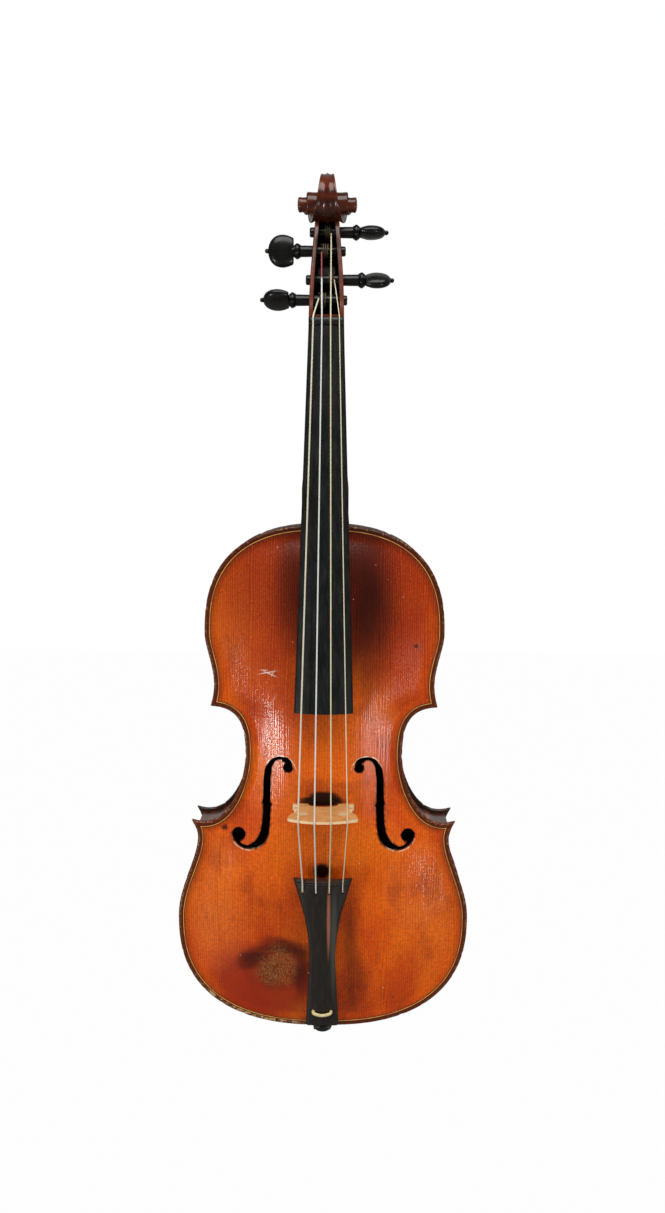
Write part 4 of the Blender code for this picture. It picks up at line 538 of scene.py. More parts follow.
rib_maple, graph, shader, colour = flamed_maple(
    "flamed_maple_of_the_ribs", (FLAME_WIDTH, 0.20, FLAME_WIDTH), (0.03, FIBRE, 0.03), "#42190a", "#60290f", "#7e401a",
    0.34)
plug(shader, Base_Color=colour)

# the neck's shaft is taken to be worn bare and honey brown, as the hand leaves it: the photograph doesn't show it
neck_maple, graph, shader, colour = flamed_maple(
    "flamed_maple_of_the_neck", (0.045, 0.045, FLAME_WIDTH), (FIBRE, FIBRE, 0.03), "#46170a", "#6e2c12", "#8e4a20",
    0.36, (0.35, 0.30))
colour = laid_over(graph, colour, "#9c6636", 0.75, faded(graph, "height", BODY_LENGTH + 0.018, BODY_LENGTH + 0.034),
                 faded(graph, "height", NUT_HEIGHT - 0.004, NUT_HEIGHT - 0.016))
plug(shader, Base_Color=colour)

# the head is darkest in its hollows, and a little paler on its edges
head_maple, graph, shader, colour = flamed_maple(
    "dark_varnished_maple_of_the_head", (0.020, 0.020, FLAME_WIDTH), (FIBRE, FIBRE, 0.012), "#3a180e", "#501e10",
    "#662a14", 0.27)
colour = laid_over(graph, colour, "#7e3a14", 0.65, faded(graph, "height", NUT_HEIGHT + 0.055, NUT_HEIGHT))
blackened = add(graph, "Attribute", out="Fac", attribute_name="inside")
ridge = add(graph, "Attribute", out="Fac", attribute_name="edge_wear")
colour = laid_over(graph, colour, "#6a3a22", 0.40, ridge, clouds(graph, (0.003, 0.003, 0.003), 0.35, 0.6, 3.0))
colour = laid_over(graph, colour, "#050404", 0.97, blackened)
less = add(graph, "Math", {0: blackened, 1: 0.8}, operation="MULTIPLY")
plug(shader, Base_Color=colour, Coat_Weight=add(graph, "Math", {0: 0.85, 1: less}, operation="SUBTRACT"))
print("maple finishes:", back_maple.name, rib_maple.name, neck_maple.name, head_maple.name)

# %% [markdown]
# ## Ebony
# Ebony is nearly black, with fine brown streaks along its grain and a satin polish from hands and strings. The board,
# nut, saddle, button and pegs are cut from good black wood. The tailpiece is a browner piece with one red-brown streak.

# %% Ebony for the board and fittings, and the browner tailpiece


def ebony_finish(name, dark, streak, amount, streak_size, roughness, rows=()):
    """Polished ebony: a dark colour, streaks of another along the grain, fine open pores, and rows of patches laid over
    it, among them a painted sheen on the tailpiece.
    """
    finish, graph, shader = new_finish(name, Roughness=roughness, Specular_IOR_Level=0.45)
    colour = laid_over(graph, dark, streak, amount, clouds(graph, streak_size, 0.45, 0.72, 4.0, 0.6))
    pores = clouds(graph, (0.0003, 0.0003, 0.004), 0.55, 0.70, 2.0, 0.5)
    colour = patched(graph, laid_over(graph, colour, "#050505", 0.6, pores), rows)
    smear = clouds(graph, (0.008, 0.008, 0.020), 0.3, 0.7, 3.0)
    plug(shader, Base_Color=colour,
         Normal=add(graph, "Bump", {"Strength": 0.25, "Distance": 0.00008, "Height": pores}),
         Roughness=add(graph, "MapRange", {"Value": smear, "To Min": roughness - 0.06, "To Max": roughness + 0.10}))
    return finish


ebony = ebony_finish("black_ebony", "#121515", "#30322c", 0.60, (0.0010, 0.0010, 0.045), 0.34)
peg_ebony = ebony_finish("polished_peg_ebony", "#101211", "#251b13", 0.5, (0.010, 0.0010, 0.0010), 0.22)
# the second row is a grey sheen beside the streak. In the photograph it is a soft reflection, and here it is painted,
# so it stays where it is when the light or the view changes
tail_ebony = ebony_finish(
    "brown_ebony_of_the_tailpiece", "#1e1b17", "#382a20", 0.6, (0.0012, 0.0012, 0.050), 0.30,
    [("#9c6248", 0.90, 0.0042, 0.086, 0.0017, 0.036, 0.3, 0.0),
     ("#5a5850", 0.50, 0.0078, 0.070, 0.0035, 0.055, 0.2, 0.1), ("#5c4030", 0.50, 0.0, 0.112, 0.024, 0.004, 0.3)])
print("ebony finishes:", ebony.name, peg_ebony.name, tail_ebony.name)

# %% [markdown]
# ## Bridge, purfling and bare wood
# The bridge is unvarnished maple cut so that its rays show as short dark flecks, and its faces that turn out from the
# belly are painted paler, as painted highlight. The purfling's three plies are read from an attribute that runs across
# the strip. The wood inside the body is plain spruce, dry and matt, and it is drawn darker than it is, as painted
# shade, because the photograph shows the sound holes black.

# %% Bridge maple, purfling and bare spruce
bridge_maple, graph, shader = new_finish("bare_maple_of_the_bridge", Roughness=0.48)
colour = laid_over(graph, "#cf9a5c", "#b8793e", 0.6, clouds(graph, (0.012, 0.012, 0.008), 0.35, 0.65))
colour = laid_over(graph, colour, "#8c5226", 0.55, clouds(graph, (0.0017, 0.0017, 0.00030), 0.58, 0.68, 2.0))
colour = laid_over(graph, colour, "#dba870", 0.35, clouds(graph, (0.006, 0.002, 0.0005), 0.50, 0.66, 2.0))
# painted highlight: faces that turn out from the belly, the crown and the kidneys' lower walls, are made paler
plug(shader, Base_Color=laid_over(graph, colour, "#fbdcae", 0.75, faded(graph, "facing", -0.3, -0.7)))

inlay, graph, shader = new_finish("three_ply_purfling", Roughness=0.45, Coat_Weight=0.4, Coat_Roughness=0.2)
across = add(graph, "Attribute", out="Fac", attribute_name="across")
colour = add(graph, "ValToRGB", {"Fac": across},
             stops=[(0.0, "#4a1606"), (0.26, "#2a1006"), (0.38, "#f0a440"), (0.60, "#f0a440"), (0.70, "#2a1006"),
                    (1.0, "#1c0b05")])
plug(shader, Base_Color=laid_over(graph, colour, "#7a3410", 0.55, clouds(graph, (0.008, 0.008, 0.008), 0.42, 0.65, 3.0)))

# painted shade: the wood inside the body is drawn darker than bare spruce is, so that the sound holes look black
bare_spruce, graph, shader = new_finish("bare_spruce", Roughness=0.75)
colour = laid_over(graph, "#8a6840", "#5c3c20", 0.7, clouds(graph, (YEAR_LINE * 0.4, 1.0, 0.12), 0.5, 0.68, 2.0))
plug(shader, Base_Color=laid_over(graph, colour, "#46301c", 0.6, clouds(graph, (0.03, 0.03, 0.03), 0.45, 0.7)))
print("bridge, purfling and inner wood finished")

# %% [markdown]
# ## Gut and silk
# A gut string is twisted from strips, so fine lines wind round it. Its mesh carries the distance along the string and
# the sine and cosine of the angle round it, and the twist is sin(angle + turn per metre x distance). The D string is
# taken to be wound with fine wire, drawn four times as coarse as it is, so that it shows.

# %% Gut, wound gut and silk
TWIST_PITCH = 0.0030
WIRE_PITCH = 0.0010
SILK_RED = "#8c1f14"


def gut_finish(name, light, dark, pitch, roughness, stain=None):
    """A string's finish with lines that wind round it once every pitch, and a stain: its colour, its amount, and the
    two heights between which it sets in."""
    finish, graph, shader = new_finish(name, Roughness=roughness)
    along = add(graph, "Attribute", out="Fac", attribute_name="along")
    phase = add(graph, "Math", {0: along, 1: 2 * math.pi / pitch}, operation="MULTIPLY")
    parts = []
    for wave, layer in (("SINE", "round_cos"), ("COSINE", "round_sin")):
        around = add(graph, "Attribute", out="Fac", attribute_name=layer)
        swing = add(graph, "Math", {0: phase}, operation=wave)
        parts.append(add(graph, "Math", {0: swing, 1: around}, operation="MULTIPLY"))
    twist = add(graph, "Math", {0: parts[0], 1: parts[1]}, operation="ADD")
    line = add(graph, "MapRange", {"Value": twist, "From Min": 0.55, "From Max": 0.95})
    colour = laid_over(graph, light, dark, 0.22, line)
    colour = laid_over(graph, colour, dark, 0.20, clouds(graph, (0.004, 0.004, 0.012), 0.45, 0.7))
    if stain:
        code, amount, start, end = stain
        colour = laid_over(graph, colour, code, amount, faded(graph, "height", start, end))
    plug(shader, Base_Color=colour,
         Normal=add(graph, "Bump", {"Strength": 0.2, "Distance": 0.00006, "Height": twist}))
    return finish


# the D string's upper end is whipped with red silk
silk = (SILK_RED, 0.95, NUT_HEIGHT + 0.031, NUT_HEIGHT + 0.033)
STRING_LOOKS = {"g": ("#ddd5bd", "#a39877", TWIST_PITCH, 0.40), "d": ("#deddd8", "#a9a9a6", WIRE_PITCH, 0.40, silk),
                "a": ("#dbd0ac", "#b5a274", TWIST_PITCH, 0.40), "e": ("#dfd5b6", "#b5a37c", TWIST_PITCH * 0.8, 0.40)}
STRING_FINISH = {name: gut_finish(f"twisted_gut_{name}", *look) for name, look in STRING_LOOKS.items()}

# the turns of gut on the pegs are painted dark, as painted shade deep in the pegbox, and the tail gut is cream where it
# crosses the tailpiece and dark below it
peg_gut = gut_finish("gut_dark_on_the_peg", "#54452c", "#2a2013", TWIST_PITCH, 0.5)
tail_gut_finish = gut_finish("tail_gut", "#d9c48e", "#8d6d3c", 0.0045, 0.42, ("#23150c", 0.92, 0.0150, 0.0115))
print("string finishes:", ", ".join(finish.name for finish in STRING_FINISH.values()))

# %% [markdown]
# ## The outline
# A violin's outline is three stretches a side: the lower bout, the waist with its two corners, and the upper bout.
# The bouts are quarters of a superellipse, and the rest are cubics that leave and reach their ends in set directions.
# Every plate, rib and purfling line follows this one outline at its own inset.

# %% Outline sizes
LOWER_BOUT = (0.1015, 0.080, 2.45)
UPPER_BOUT = (0.0824, 0.0744, 2.5)
WAIST = (0.05435, 0.1955)
LOWER_CORNER = (0.0896, 0.1446)
UPPER_CORNER = (0.0776, 0.2330)
CORNER_END = 0.0040
OUTLINE_STEPS = {"bout": 64, "recurve": 32, "waist": 48}
OVERHANG = 0.0025


def hermite(*ends, steps):
    """Points on the cubic between two points: the start and its velocity, then the end and its velocity."""
    return cubic(np.linspace(0, 1, steps + 1)[:, None], *map(np.array, ends))


def quarter_bout(half, rise, fullness):
    """A superellipse's quarter: x = half sin(u)^(2/n), s = rise (1 - cos(u)^(2/n))."""
    u = np.linspace(0, np.pi / 2, OUTLINE_STEPS["bout"] + 1)
    return np.c_[half * np.sin(u) ** (2 / fullness), rise * (1 - np.cos(u) ** (2 / fullness))]


def heading(speed, degrees):
    """A velocity at an angle from straight up, positive towards the outside."""
    return speed * math.sin(math.radians(degrees)), speed * math.cos(math.radians(degrees))


def stretches():
    """The treble half of the outline, from the bottom to the top, as its three stretches."""
    recurve, waist_steps = OUTLINE_STEPS["recurve"], OUTLINE_STEPS["waist"]
    lower_inner = (LOWER_CORNER[0] - CORNER_END * 0.1, LOWER_CORNER[1] + CORNER_END)
    upper_inner = (UPPER_CORNER[0] - CORNER_END * 0.2, UPPER_CORNER[1] - CORNER_END * 0.9)
    lower_rise = LOWER_CORNER[1] - LOWER_BOUT[1]
    upper_widest = (UPPER_BOUT[0], BODY_LENGTH - UPPER_BOUT[1])
    upper_drop = upper_widest[1] - UPPER_CORNER[1]
    below = WAIST[1] - lower_inner[1]
    above = upper_inner[1] - WAIST[1]
    lower = np.vstack([quarter_bout(*LOWER_BOUT)[:-1],
                       hermite(LOWER_BOUT[:2], heading(1.16 * lower_rise, 0), LOWER_CORNER,
                               heading(0.72 * lower_rise, 33), steps=recurve)])
    centre = np.vstack([hermite(lower_inner, heading(-1.67 * below, 75), WAIST, heading(0.96 * below, 0),
                                steps=waist_steps)[:-1],
                        hermite(WAIST, heading(1.44 * above, 0), upper_inner, heading(1.83 * above, 86.5),
                                steps=waist_steps)])
    crown = quarter_bout(*UPPER_BOUT)[::-1]
    crown[:, 1] = BODY_LENGTH - crown[:, 1]
    upper = np.vstack([hermite(UPPER_CORNER, heading(1.22 * upper_drop, -16), upper_widest,
                               heading(0.79 * upper_drop, 0), steps=recurve)[:-1], crown])
    return {"lower": lower, "centre": centre, "upper": upper}


OUTLINE = stretches()
print("outline points a side:", sum(len(line) for line in OUTLINE.values()))

# %% [markdown]
# ## Insets
# An inset line keeps its distance from the outline. Each stretch is moved along its own normals, and ends where it
# crosses the moved stretch beside it, so the corners stay sharp mitres at every inset.

# %% Lines at an inset
CORNER_REACH = 0.006


def lengths_along(line):
    """The distance along the line at each of its points: the running sum of the lengths of its pieces."""
    return np.r_[0, np.cumsum(np.hypot(*np.diff(line, axis=0).T))]


def resampled(line, along):
    """Points at the given distances along the line."""
    measured = lengths_along(line)
    return np.c_[np.interp(along, measured, line[:, 0]), np.interp(along, measured, line[:, 1])]


def shifted(line, inset):
    """The line moved to its left by the inset, along the normals of its central differences."""
    ahead = np.vstack([line[1:], line[-1:]])
    behind = np.vstack([line[:1], line[:-1]])
    tangent = ahead - behind
    tangent /= np.hypot(*tangent.T)[:, None]
    return line + inset * np.c_[-tangent[:, 1], tangent[:, 0]]


def lengthened(line, reach):
    """The line with a straight piece more at each end."""
    first = line[0] + (line[0] - line[1]) / np.hypot(*(line[0] - line[1])) * reach
    last = line[-1] + (line[-1] - line[-2]) / np.hypot(*(line[-1] - line[-2])) * reach
    return np.vstack([first, line, last])


def crossing(one, other):
    """How far along the first line it meets the second: each pair of pieces solved as two straight lines."""
    start, along = one[:-1, None], np.diff(one, axis=0)[:, None]
    across = np.diff(other, axis=0)[None]
    gap = other[None, :-1] - start
    turn = along[..., 0] * across[..., 1] - along[..., 1] * across[..., 0]
    turn = np.where(np.abs(turn) < 1e-15, 1e-15, turn)
    t = (gap[..., 0] * across[..., 1] - gap[..., 1] * across[..., 0]) / turn
    u = (gap[..., 0] * along[..., 1] - gap[..., 1] * along[..., 0]) / turn
    i, j = np.argwhere((t >= 0) & (t <= 1) & (u >= 0) & (u <= 1))[0]
    measured = lengths_along(one)
    return measured[i] + t[i, j] * (measured[i + 1] - measured[i])


def stretch_at(name, inset):
    """One stretch at an inset, ended where its neighbours cross it, with its points spaced as the outline's are."""
    line = shifted(OUTLINE[name], inset)
    if name == "lower":
        line[0, 0] = 0
    if name == "upper":
        line[-1, 0] = 0
    whole = lengthened(line, CORNER_REACH)
    low, high = CORNER_REACH, lengths_along(whole)[-1] - CORNER_REACH
    if inset > 0 and name != "lower":
        before = {"centre": "lower", "upper": "centre"}[name]
        low = crossing(whole, lengthened(shifted(OUTLINE[before], inset), CORNER_REACH))
    if inset > 0 and name != "upper":
        after = {"lower": "centre", "centre": "upper"}[name]
        high = crossing(whole, lengthened(shifted(OUTLINE[after], inset), CORNER_REACH))
    share_along = lengths_along(OUTLINE[name])
    return resampled(whole, low + (high - low) * share_along / share_along[-1])


def half_ring(inset):
    """The treble half of the outline at one inset."""
    return np.vstack([stretch_at(name, inset) for name in OUTLINE])


def both_halves(half):
    """A closed ring: the treble half up, then its mirror image down, without repeating the two middle points."""
    mirror = half[::-1][1:-1] * np.array([-1, 1, 1][: half.shape[1]])
    return np.vstack([half, mirror])


print("corner at 3 mm in:", stretch_at("centre", 0.003)[-1].round(4))

# %% [markdown]
# ## The arched plates
# Belly and back are carved, not bent: a raised rounded edge, a shallow channel just inside it, and then the arch, which
# climbs to a ridge along the middle. The surface is a grid. One parameter runs round the outline, and the other
# from the middle ridge out to the edge, round it, and back under to the hollow inside.

# %% Plate sections
EDGE_THICKNESS = 0.0040
PLATE_THICKNESS = 0.0030
CHANNEL_DEPTH = 0.0007
CHANNEL_INSET = 0.0064
ARCH_INSET = 0.0085
GLUING_WIDTH = 0.0072
BELLY_ARCH = 0.0154
BACK_ARCH = 0.0148
ARCH_FULLNESS = 0.60
RIDGE_CENTRE = 0.185
RIDGE_DROP = 0.27
SPINE_FOOT = 0.045
SPINE_HEAD = 0.045
GROOVE = (0.0027, 0.0043)
KNOCK_DEPTH = 0.0006
KNOCK_INSET = 0.0012
CORNER_EASE = 0.016
EASE_REACH = 0.040


def spine_heights():
    """For each outline point, where on the centre line the arching over it ends, by straight interpolation."""
    lower_end = LOWER_CORNER[1] - 0.027
    upper_end = UPPER_CORNER[1] + 0.025
    widest = BODY_LENGTH - UPPER_BOUT[1]
    lower = np.interp(OUTLINE["lower"][:, 1], [0, LOWER_BOUT[1], LOWER_CORNER[1]],
                      [SPINE_FOOT, LOWER_BOUT[1] - 0.002, lower_end])
    along = lengths_along(OUTLINE["centre"])
    centre = lower_end + (upper_end - lower_end) * along / along[-1]
    upper = np.interp(OUTLINE["upper"][:, 1], [UPPER_CORNER[1], widest, BODY_LENGTH],
                      [upper_end, widest, BODY_LENGTH - SPINE_HEAD])
    return np.concatenate([lower, centre, upper])


SPINE = spine_heights()
ARCH_START = half_ring(ARCH_INSET)
CORNER_POINTS = (len(OUTLINE["lower"]) - 0.5, len(OUTLINE["lower"]) + len(OUTLINE["centre"]) - 0.5)

def eased_corners(line, share):
    """A contour line of the arch with its two corners worn round, more so higher up. Each point becomes a mean of its
    neighbours, whose weights fall by exp(-(distance / width)^2 / 2), and the width fades away from the corners."""
    along = lengths_along(line)
    corner_at = np.interp(CORNER_POINTS, np.arange(len(line)), along)
    nearness = np.exp(-(((along[:, None] - corner_at) / EASE_REACH) ** 2)).sum(axis=1)
    width = CORNER_EASE * share**0.35 * nearness[:, None] + 1e-6
    weights = np.exp(-(((along[None] - along[:, None]) / width) ** 2) / 2) * np.gradient(along)[None]
    eased_line = weights @ line / weights.sum(axis=1)[:, None]
    eased_line[[0, -1]] = line[[0, -1]]
    return eased_line


def arched(arch, share):
    """A row part of the way up the arch: place = edge + (spine - edge) share, and the height climbs from the channel
    to the ridge by (1 - cos(pi share^fullness)) / 2. The ridge falls away from its centre by a power of 2.2."""
    reach = RIDGE_CENTRE - SPINE_FOOT
    ridge = arch * (1 - RIDGE_DROP * np.abs((SPINE - RIDGE_CENTRE) / reach) ** 2.2)
    channel = EDGE_THICKNESS - CHANNEL_DEPTH
    rise = (1 - math.cos(math.pi * share**ARCH_FULLNESS)) / 2
    spot = ARCH_START + (np.c_[np.zeros(len(SPINE)), SPINE] - ARCH_START) * share
    return np.c_[eased_corners(spot, share), channel + (ridge - channel) * rise]


def level(inset, height):
    """A row at one inset and one height."""
    ring = half_ring(inset)
    return np.c_[ring, np.full(len(ring), height)]


def knocks():
    """How far each point of the edge has been knocked in, in metres: waves of three unlike lengths multiplied, cut off
    below zero, and none where the violin is widest or longest."""
    half = half_ring(0.0)
    along = lengths_along(half) * 1000
    waves = np.sin(along / 1.7) * np.sin(along / 2.9 + 1.0) * np.sin(along / 7.3 + 0.4)
    widest = np.minimum(LOWER_BOUT[0] - np.abs(half[:, 0]), np.minimum(half[:, 1], BODY_LENGTH - half[:, 1]))
    return KNOCK_DEPTH * np.clip(waves - 0.15, 0, 1) * np.clip(widest / 0.004, 0, 1)


KNOCKS = knocks()
WORN_EDGE = half_ring(KNOCK_INSET)


def plate_grid(arch):
    """The plate's rows, and each row's inset from the edge in metres, which the varnish's wear follows."""
    channel = EDGE_THICKNESS - CHANNEL_DEPTH
    top = EDGE_THICKNESS
    rows = [arched(arch, share) for share in np.linspace(1, 0, 34)]
    insets = [ARCH_INSET] * len(rows)
    bowl = [(0.0075, channel - 0.00004), (CHANNEL_INSET, channel), (0.0054, channel + 0.00022),
            (GROOVE[1], channel + 0.00055), (GROOVE[1], top - 0.0009), (GROOVE[0], top - 0.0009),
            (GROOVE[0], top - 0.00004), (0.0020, top), (0.0013, top - 0.00002), (0.0008, top - 0.00018),
            (0.00038, top - 0.0005), (0.00012, top - 0.0009), (0.0, top - 0.0015), (0.0, 0.0011),
            (0.00012, 0.0006), (0.0004, 0.00022), (0.0009, 0.0), (OVERHANG, 0.0), (GLUING_WIDTH, 0.0)]
    for inset, height in bowl:
        row = level(inset, height)
        if inset < 0.0010:
            row[:, :2] += (WORN_EDGE - row[:, :2]) * (KNOCKS / KNOCK_INSET)[:, None]
        rows.append(row)
        insets.append(inset)
    for share in (0.0, 0.08, 0.2, 0.35, 0.5, 0.65, 0.8, 0.92, 1.0):
        row = arched(arch, share)
        row[:, 2] = np.maximum(row[:, 2] - PLATE_THICKNESS, 0.0001 * share)
        rows.append(row)
        insets.append(ARCH_INSET)
    return rows, insets


def ringed(name, rows, back, sharp=40, **layer):
    """A closed mesh of half rows, each made a whole ring, with one value a row. On the back, heights are turned to
    -(rib height + height)."""
    rings = np.array([both_halves(row) for row in rows])
    heights = -RIB_HEIGHT - rings[..., 2] if back else rings[..., 2]
    spread = {key: np.repeat(np.array(values)[:, None], rings.shape[1], axis=1) for key, values in layer.items()}
    return make_mesh(name, place(rings[..., 0], rings[..., 1], heights), grid_quads(*rings.shape[:2], wrap=True),
                     sharp=sharp, **spread)


def plate_mesh(name, arch, back):
    """The closed plate. The back's heights are counted inwards from the ribs' other side."""
    rows, insets = plate_grid(arch)
    return ringed(name, rows, back, sharp=50, inset=insets)


belly_mesh = plate_mesh("belly", BELLY_ARCH, False)
back_mesh = plate_mesh("back", BACK_ARCH, True)
print("belly points:", len(belly_mesh.vertices))

# %% [markdown]
# ## The sound holes
# Each f-hole is cut with a knife: a slim curved stem with a round eye at each end and two small nicks that mark the
# bridge's place. Each edge of the stem is a smooth line through measured knots, and the holes are cut right through.

# %% Sound holes
EYE_UPPER = (0.0245, 0.1884)
EYE_UPPER_RADIUS = 0.0034
EYE_LOWER = (0.0588, 0.1399)
EYE_LOWER_RADIUS = 0.00475
FAR_SIDE = [  # the stem's edge away from the bridge, in millimetres, from the upper eye down, with its nick
    (21.6, 188.6), (22.2, 193.0), (26.0, 195.7), (29.8, 195.9), (34.4, 194.5), (38.2, 190.6), (40.9, 185.1),
    (41.6, 176.7), (41.8, 165.4), (42.5, 162.7), (41.9, 160.9), (41.9, 157.9), (42.2, 150.5), (43.3, 143.7),
    (45.5, 138.4), (49.3, 134.4), (53.1, 132.6), (56.1, 133.3), (58.1, 135.4), (58.6, 137.5)]
NEAR_SIDE = [
    (27.9, 192.5), (29.8, 193.8), (32.9, 192.7), (35.1, 189.4), (35.9, 185.6), (36.6, 177.2), (36.7, 165.9),
    (36.5, 163.3), (35.6, 161.9), (36.4, 160.0), (36.8, 151.0), (37.5, 143.4), (39.4, 137.3), (43.2, 132.6),
    (47.7, 130.4), (53.1, 130.0), (57.7, 131.6), (61.5, 134.4), (62.8, 138.0)]


def stem_outline():
    """The stem's closed outline: a cubic through the knots of one edge down and of the other back up."""
    return np.vstack([smooth_rows(FAR_SIDE, 110), smooth_rows(NEAR_SIDE, 110)[::-1]]) / 1000


def circle(centre, radius, steps=40):
    """Points round an ellipse, or round a circle where one radius is given: centre + radius (cos u, sin u)."""
    u = once_round(steps)
    return np.array(centre) + np.array(radius) * np.c_[np.cos(u), np.sin(u)]


def slab_mesh(name, outline, low, high, sharp=40, **layers):
    """A flat outline in x and s made a closed block between two heights."""
    sections = [place(outline[:, 0], outline[:, 1], height) for height in (low, high)]
    return lofted(name, sections, sharp=sharp, **layers)


def carved(mesh, cutters, sharp):
    """The mesh with the cutters taken out of it by exact Booleans, and its edges sharp above an angle."""
    block = bpy.data.objects.new("block", mesh)
    bpy.context.scene.collection.objects.link(block)
    tools = []
    for number, cutter in enumerate(cutters):
        tool = bpy.data.objects.new(f"knife_{number}", cutter)
        bpy.context.scene.collection.objects.link(tool)
        modifier = block.modifiers.new(tool.name, "BOOLEAN")
        modifier.operation, modifier.object, modifier.solver = "DIFFERENCE", tool, "EXACT"
        tools.append(tool)
    bpy.context.view_layer.update()
    done = bpy.data.meshes.new_from_object(block.evaluated_get(bpy.context.evaluated_depsgraph_get()))
    for thing in [block, *tools]:
        bpy.data.objects.remove(thing)
    done.set_sharp_from_angle(angle=math.radians(sharp))
    return done


knives = []
for side in (1, -1):
    for outline in (stem_outline(), circle(EYE_UPPER, EYE_UPPER_RADIUS), circle(EYE_LOWER, EYE_LOWER_RADIUS)):
        # the knife's faces carry an inset of 1, which marks the cut walls for the varnish
        knives.append(slab_mesh("knife", outline * (side, 1), -0.002, BELLY_ARCH + 0.004,
                                inset=np.ones((2, len(outline)))))
belly = new_piece("belly_plate", carved(belly_mesh, knives, 50), spruce, "top_plate")
new_piece("back_plate_flamed", back_mesh, back_maple, "back_plate")

# %% [markdown]
# ## Purfling
# Purfling is a thin sandwich of black, pale and black strips let into a groove round each plate. It is a closed ring
# with the same inset lines as the plate, and its material reads how far across the strip a point lies.

# %% Purfling rings


def purfling_mesh(name, back):
    """A ring of five rows straight from the groove's one inset to the other, a little under the surface, and then
    down into the groove."""
    inner, outer = GROOVE[1] - 0.0001, GROOVE[0] + 0.0001
    top = EDGE_THICKNESS - 0.00006
    channel_side = EDGE_THICKNESS - CHANNEL_DEPTH + 0.00055
    profile = [(inner * (1 - k) + outer * k, channel_side * (1 - k) + top * k) for k in (0, 0.25, 0.5, 0.75, 1)]
    profile += [(outer, EDGE_THICKNESS - 0.0008), (inner, EDGE_THICKNESS - 0.0008), (inner, channel_side)]
    across = [(inner - inset) / (inner - outer) for inset, height in profile]
    return ringed(name, [level(inset, height) for inset, height in profile], back, across=across)


new_piece("belly_purfling", purfling_mesh("belly_purfling", False), inlay, "top_purfling")
new_piece("back_purfling_ring", purfling_mesh("back_purfling", True), inlay, "back_purfling")

# %% [markdown]
# ## The ribs
# Six thin strips of maple are bent round the blocks, three a side. The waist strips run out to the corners, and the
# others butt against them. Each one is the outline at the overhang's inset, thick by 1.2 mm and as high as the body.

# %% Ribs
RIB_THICKNESS = 0.0012
SEAM = 0.0001


def rib_mesh(name, side):
    """A closed strip: its outer and inner line at the bottom and the top of the ribs."""
    outer = stretch_at(name, OVERHANG)
    inner = stretch_at(name, OVERHANG + RIB_THICKNESS)
    flip = (1 if side == "treble" else -1, 1)
    outline = np.vstack([outer, inner[::-1]]) * flip
    if name != "centre":
        outline[:, 0] = np.where(np.abs(outline[:, 0]) < SEAM, SEAM * flip[0], outline[:, 0])
    return slab_mesh(name, outline, -RIB_HEIGHT + SEAM, -SEAM, sharp=50)


RIB_NAMES = {"lower": "lower_rib", "centre": "c_rib", "upper": "upper_rib"}
for side in ("bass", "treble"):
    for stretch, rib in RIB_NAMES.items():
        new_piece(f"{rib}_{side}_bent", rib_mesh(stretch, side), rib_maple, f"{rib}_{side}")

# %% [markdown]
# ## The neck and its heel
# The neck is one piece of maple with the head. Its section is a superellipse with a flat top, deep and square at the
# heel, where it is let into the body, and nearly round where the hand slides.

# %% Neck
NECK_PLANE = (0.0110, 0.0046)
NUT_HALF = 0.0118
NUT_THICKNESS = 0.0055
BOARD_LENGTH = 0.257
BOARD_END_HALF = 0.0198
NECK_DEPTH_AT_NUT = 0.0125
BUTTON_REACH_UP = 0.0130


def neck_plane(s):
    """The height of the neck's flat top, straight from the body to the nut."""
    return NECK_PLANE[1] + (NECK_PLANE[0] - NECK_PLANE[1]) / NECK_LENGTH * (NUT_HEIGHT - s)


def board_half(s):
    """Half the fingerboard's width, straight from the nut to its free end."""
    return NUT_HALF + (BOARD_END_HALF - NUT_HALF) / BOARD_LENGTH * (NUT_HEIGHT - s)


foot = BODY_LENGTH - OVERHANG + 0.0003
full = NECK_PLANE[0] + RIB_HEIGHT - 0.0003
reach = BODY_LENGTH + BUTTON_REACH_UP
half = board_half(BODY_LENGTH) - 0.0002
NECK_ROWS = [  # s, half width on top, half width below, depth, squareness
    (foot, 0.0165, 0.0100, full, 6.0),
    (reach - 0.0035, half, 0.0098, full - 0.0006, 5.0),
    (reach, half, 0.0100, full * 0.86, 3.6),
    (reach + 0.0045, half, 0.0110, full * 0.62, 2.9),
    (reach + 0.0110, half, half * 0.8, full * 0.45, 2.4),
    (reach + 0.0220, board_half(reach + 0.022), half * 0.9, full * 0.355, 2.15),
    (reach + 0.0400, board_half(reach + 0.040), half * 0.95, full * 0.325, 2.1),
    (NUT_HEIGHT - 0.020, board_half(NUT_HEIGHT - 0.020), NUT_HALF, NECK_DEPTH_AT_NUT, 2.1),
    (NUT_HEIGHT + NUT_THICKNESS, NUT_HALF, NUT_HALF * 0.98, NECK_DEPTH_AT_NUT, 2.3),
]
rows = smooth_rows(NECK_ROWS, 90)
u = np.linspace(0, np.pi, 49)
down = np.sin(u)[None] ** (2 / rows[:, 4:5])
across = np.sign(np.cos(u)) * np.abs(np.cos(u)) ** (2 / rows[:, 4:5])
half_at = rows[:, 1:2] + (rows[:, 2:3] - rows[:, 1:2]) * down
neck_points = place(half_at * across, rows[:, 0:1], neck_plane(rows[:, 0:1]) - rows[:, 3:4] * down)
neck_mesh = lofted("neck_shaft", neck_points)
new_piece("neck_shaft", neck_mesh, neck_maple, "neck")

# %% [markdown]
# ## The pegbox
# The pegbox is a long block hollowed from the front. Its section is a closed loop in a plane across the head: over the
# front, where it dips down to the floor between the two cheeks, down one side, across the fluted back and up the
# other side. Carrying that loop up the head, and letting the dip come and go, carves the box without any cutter.

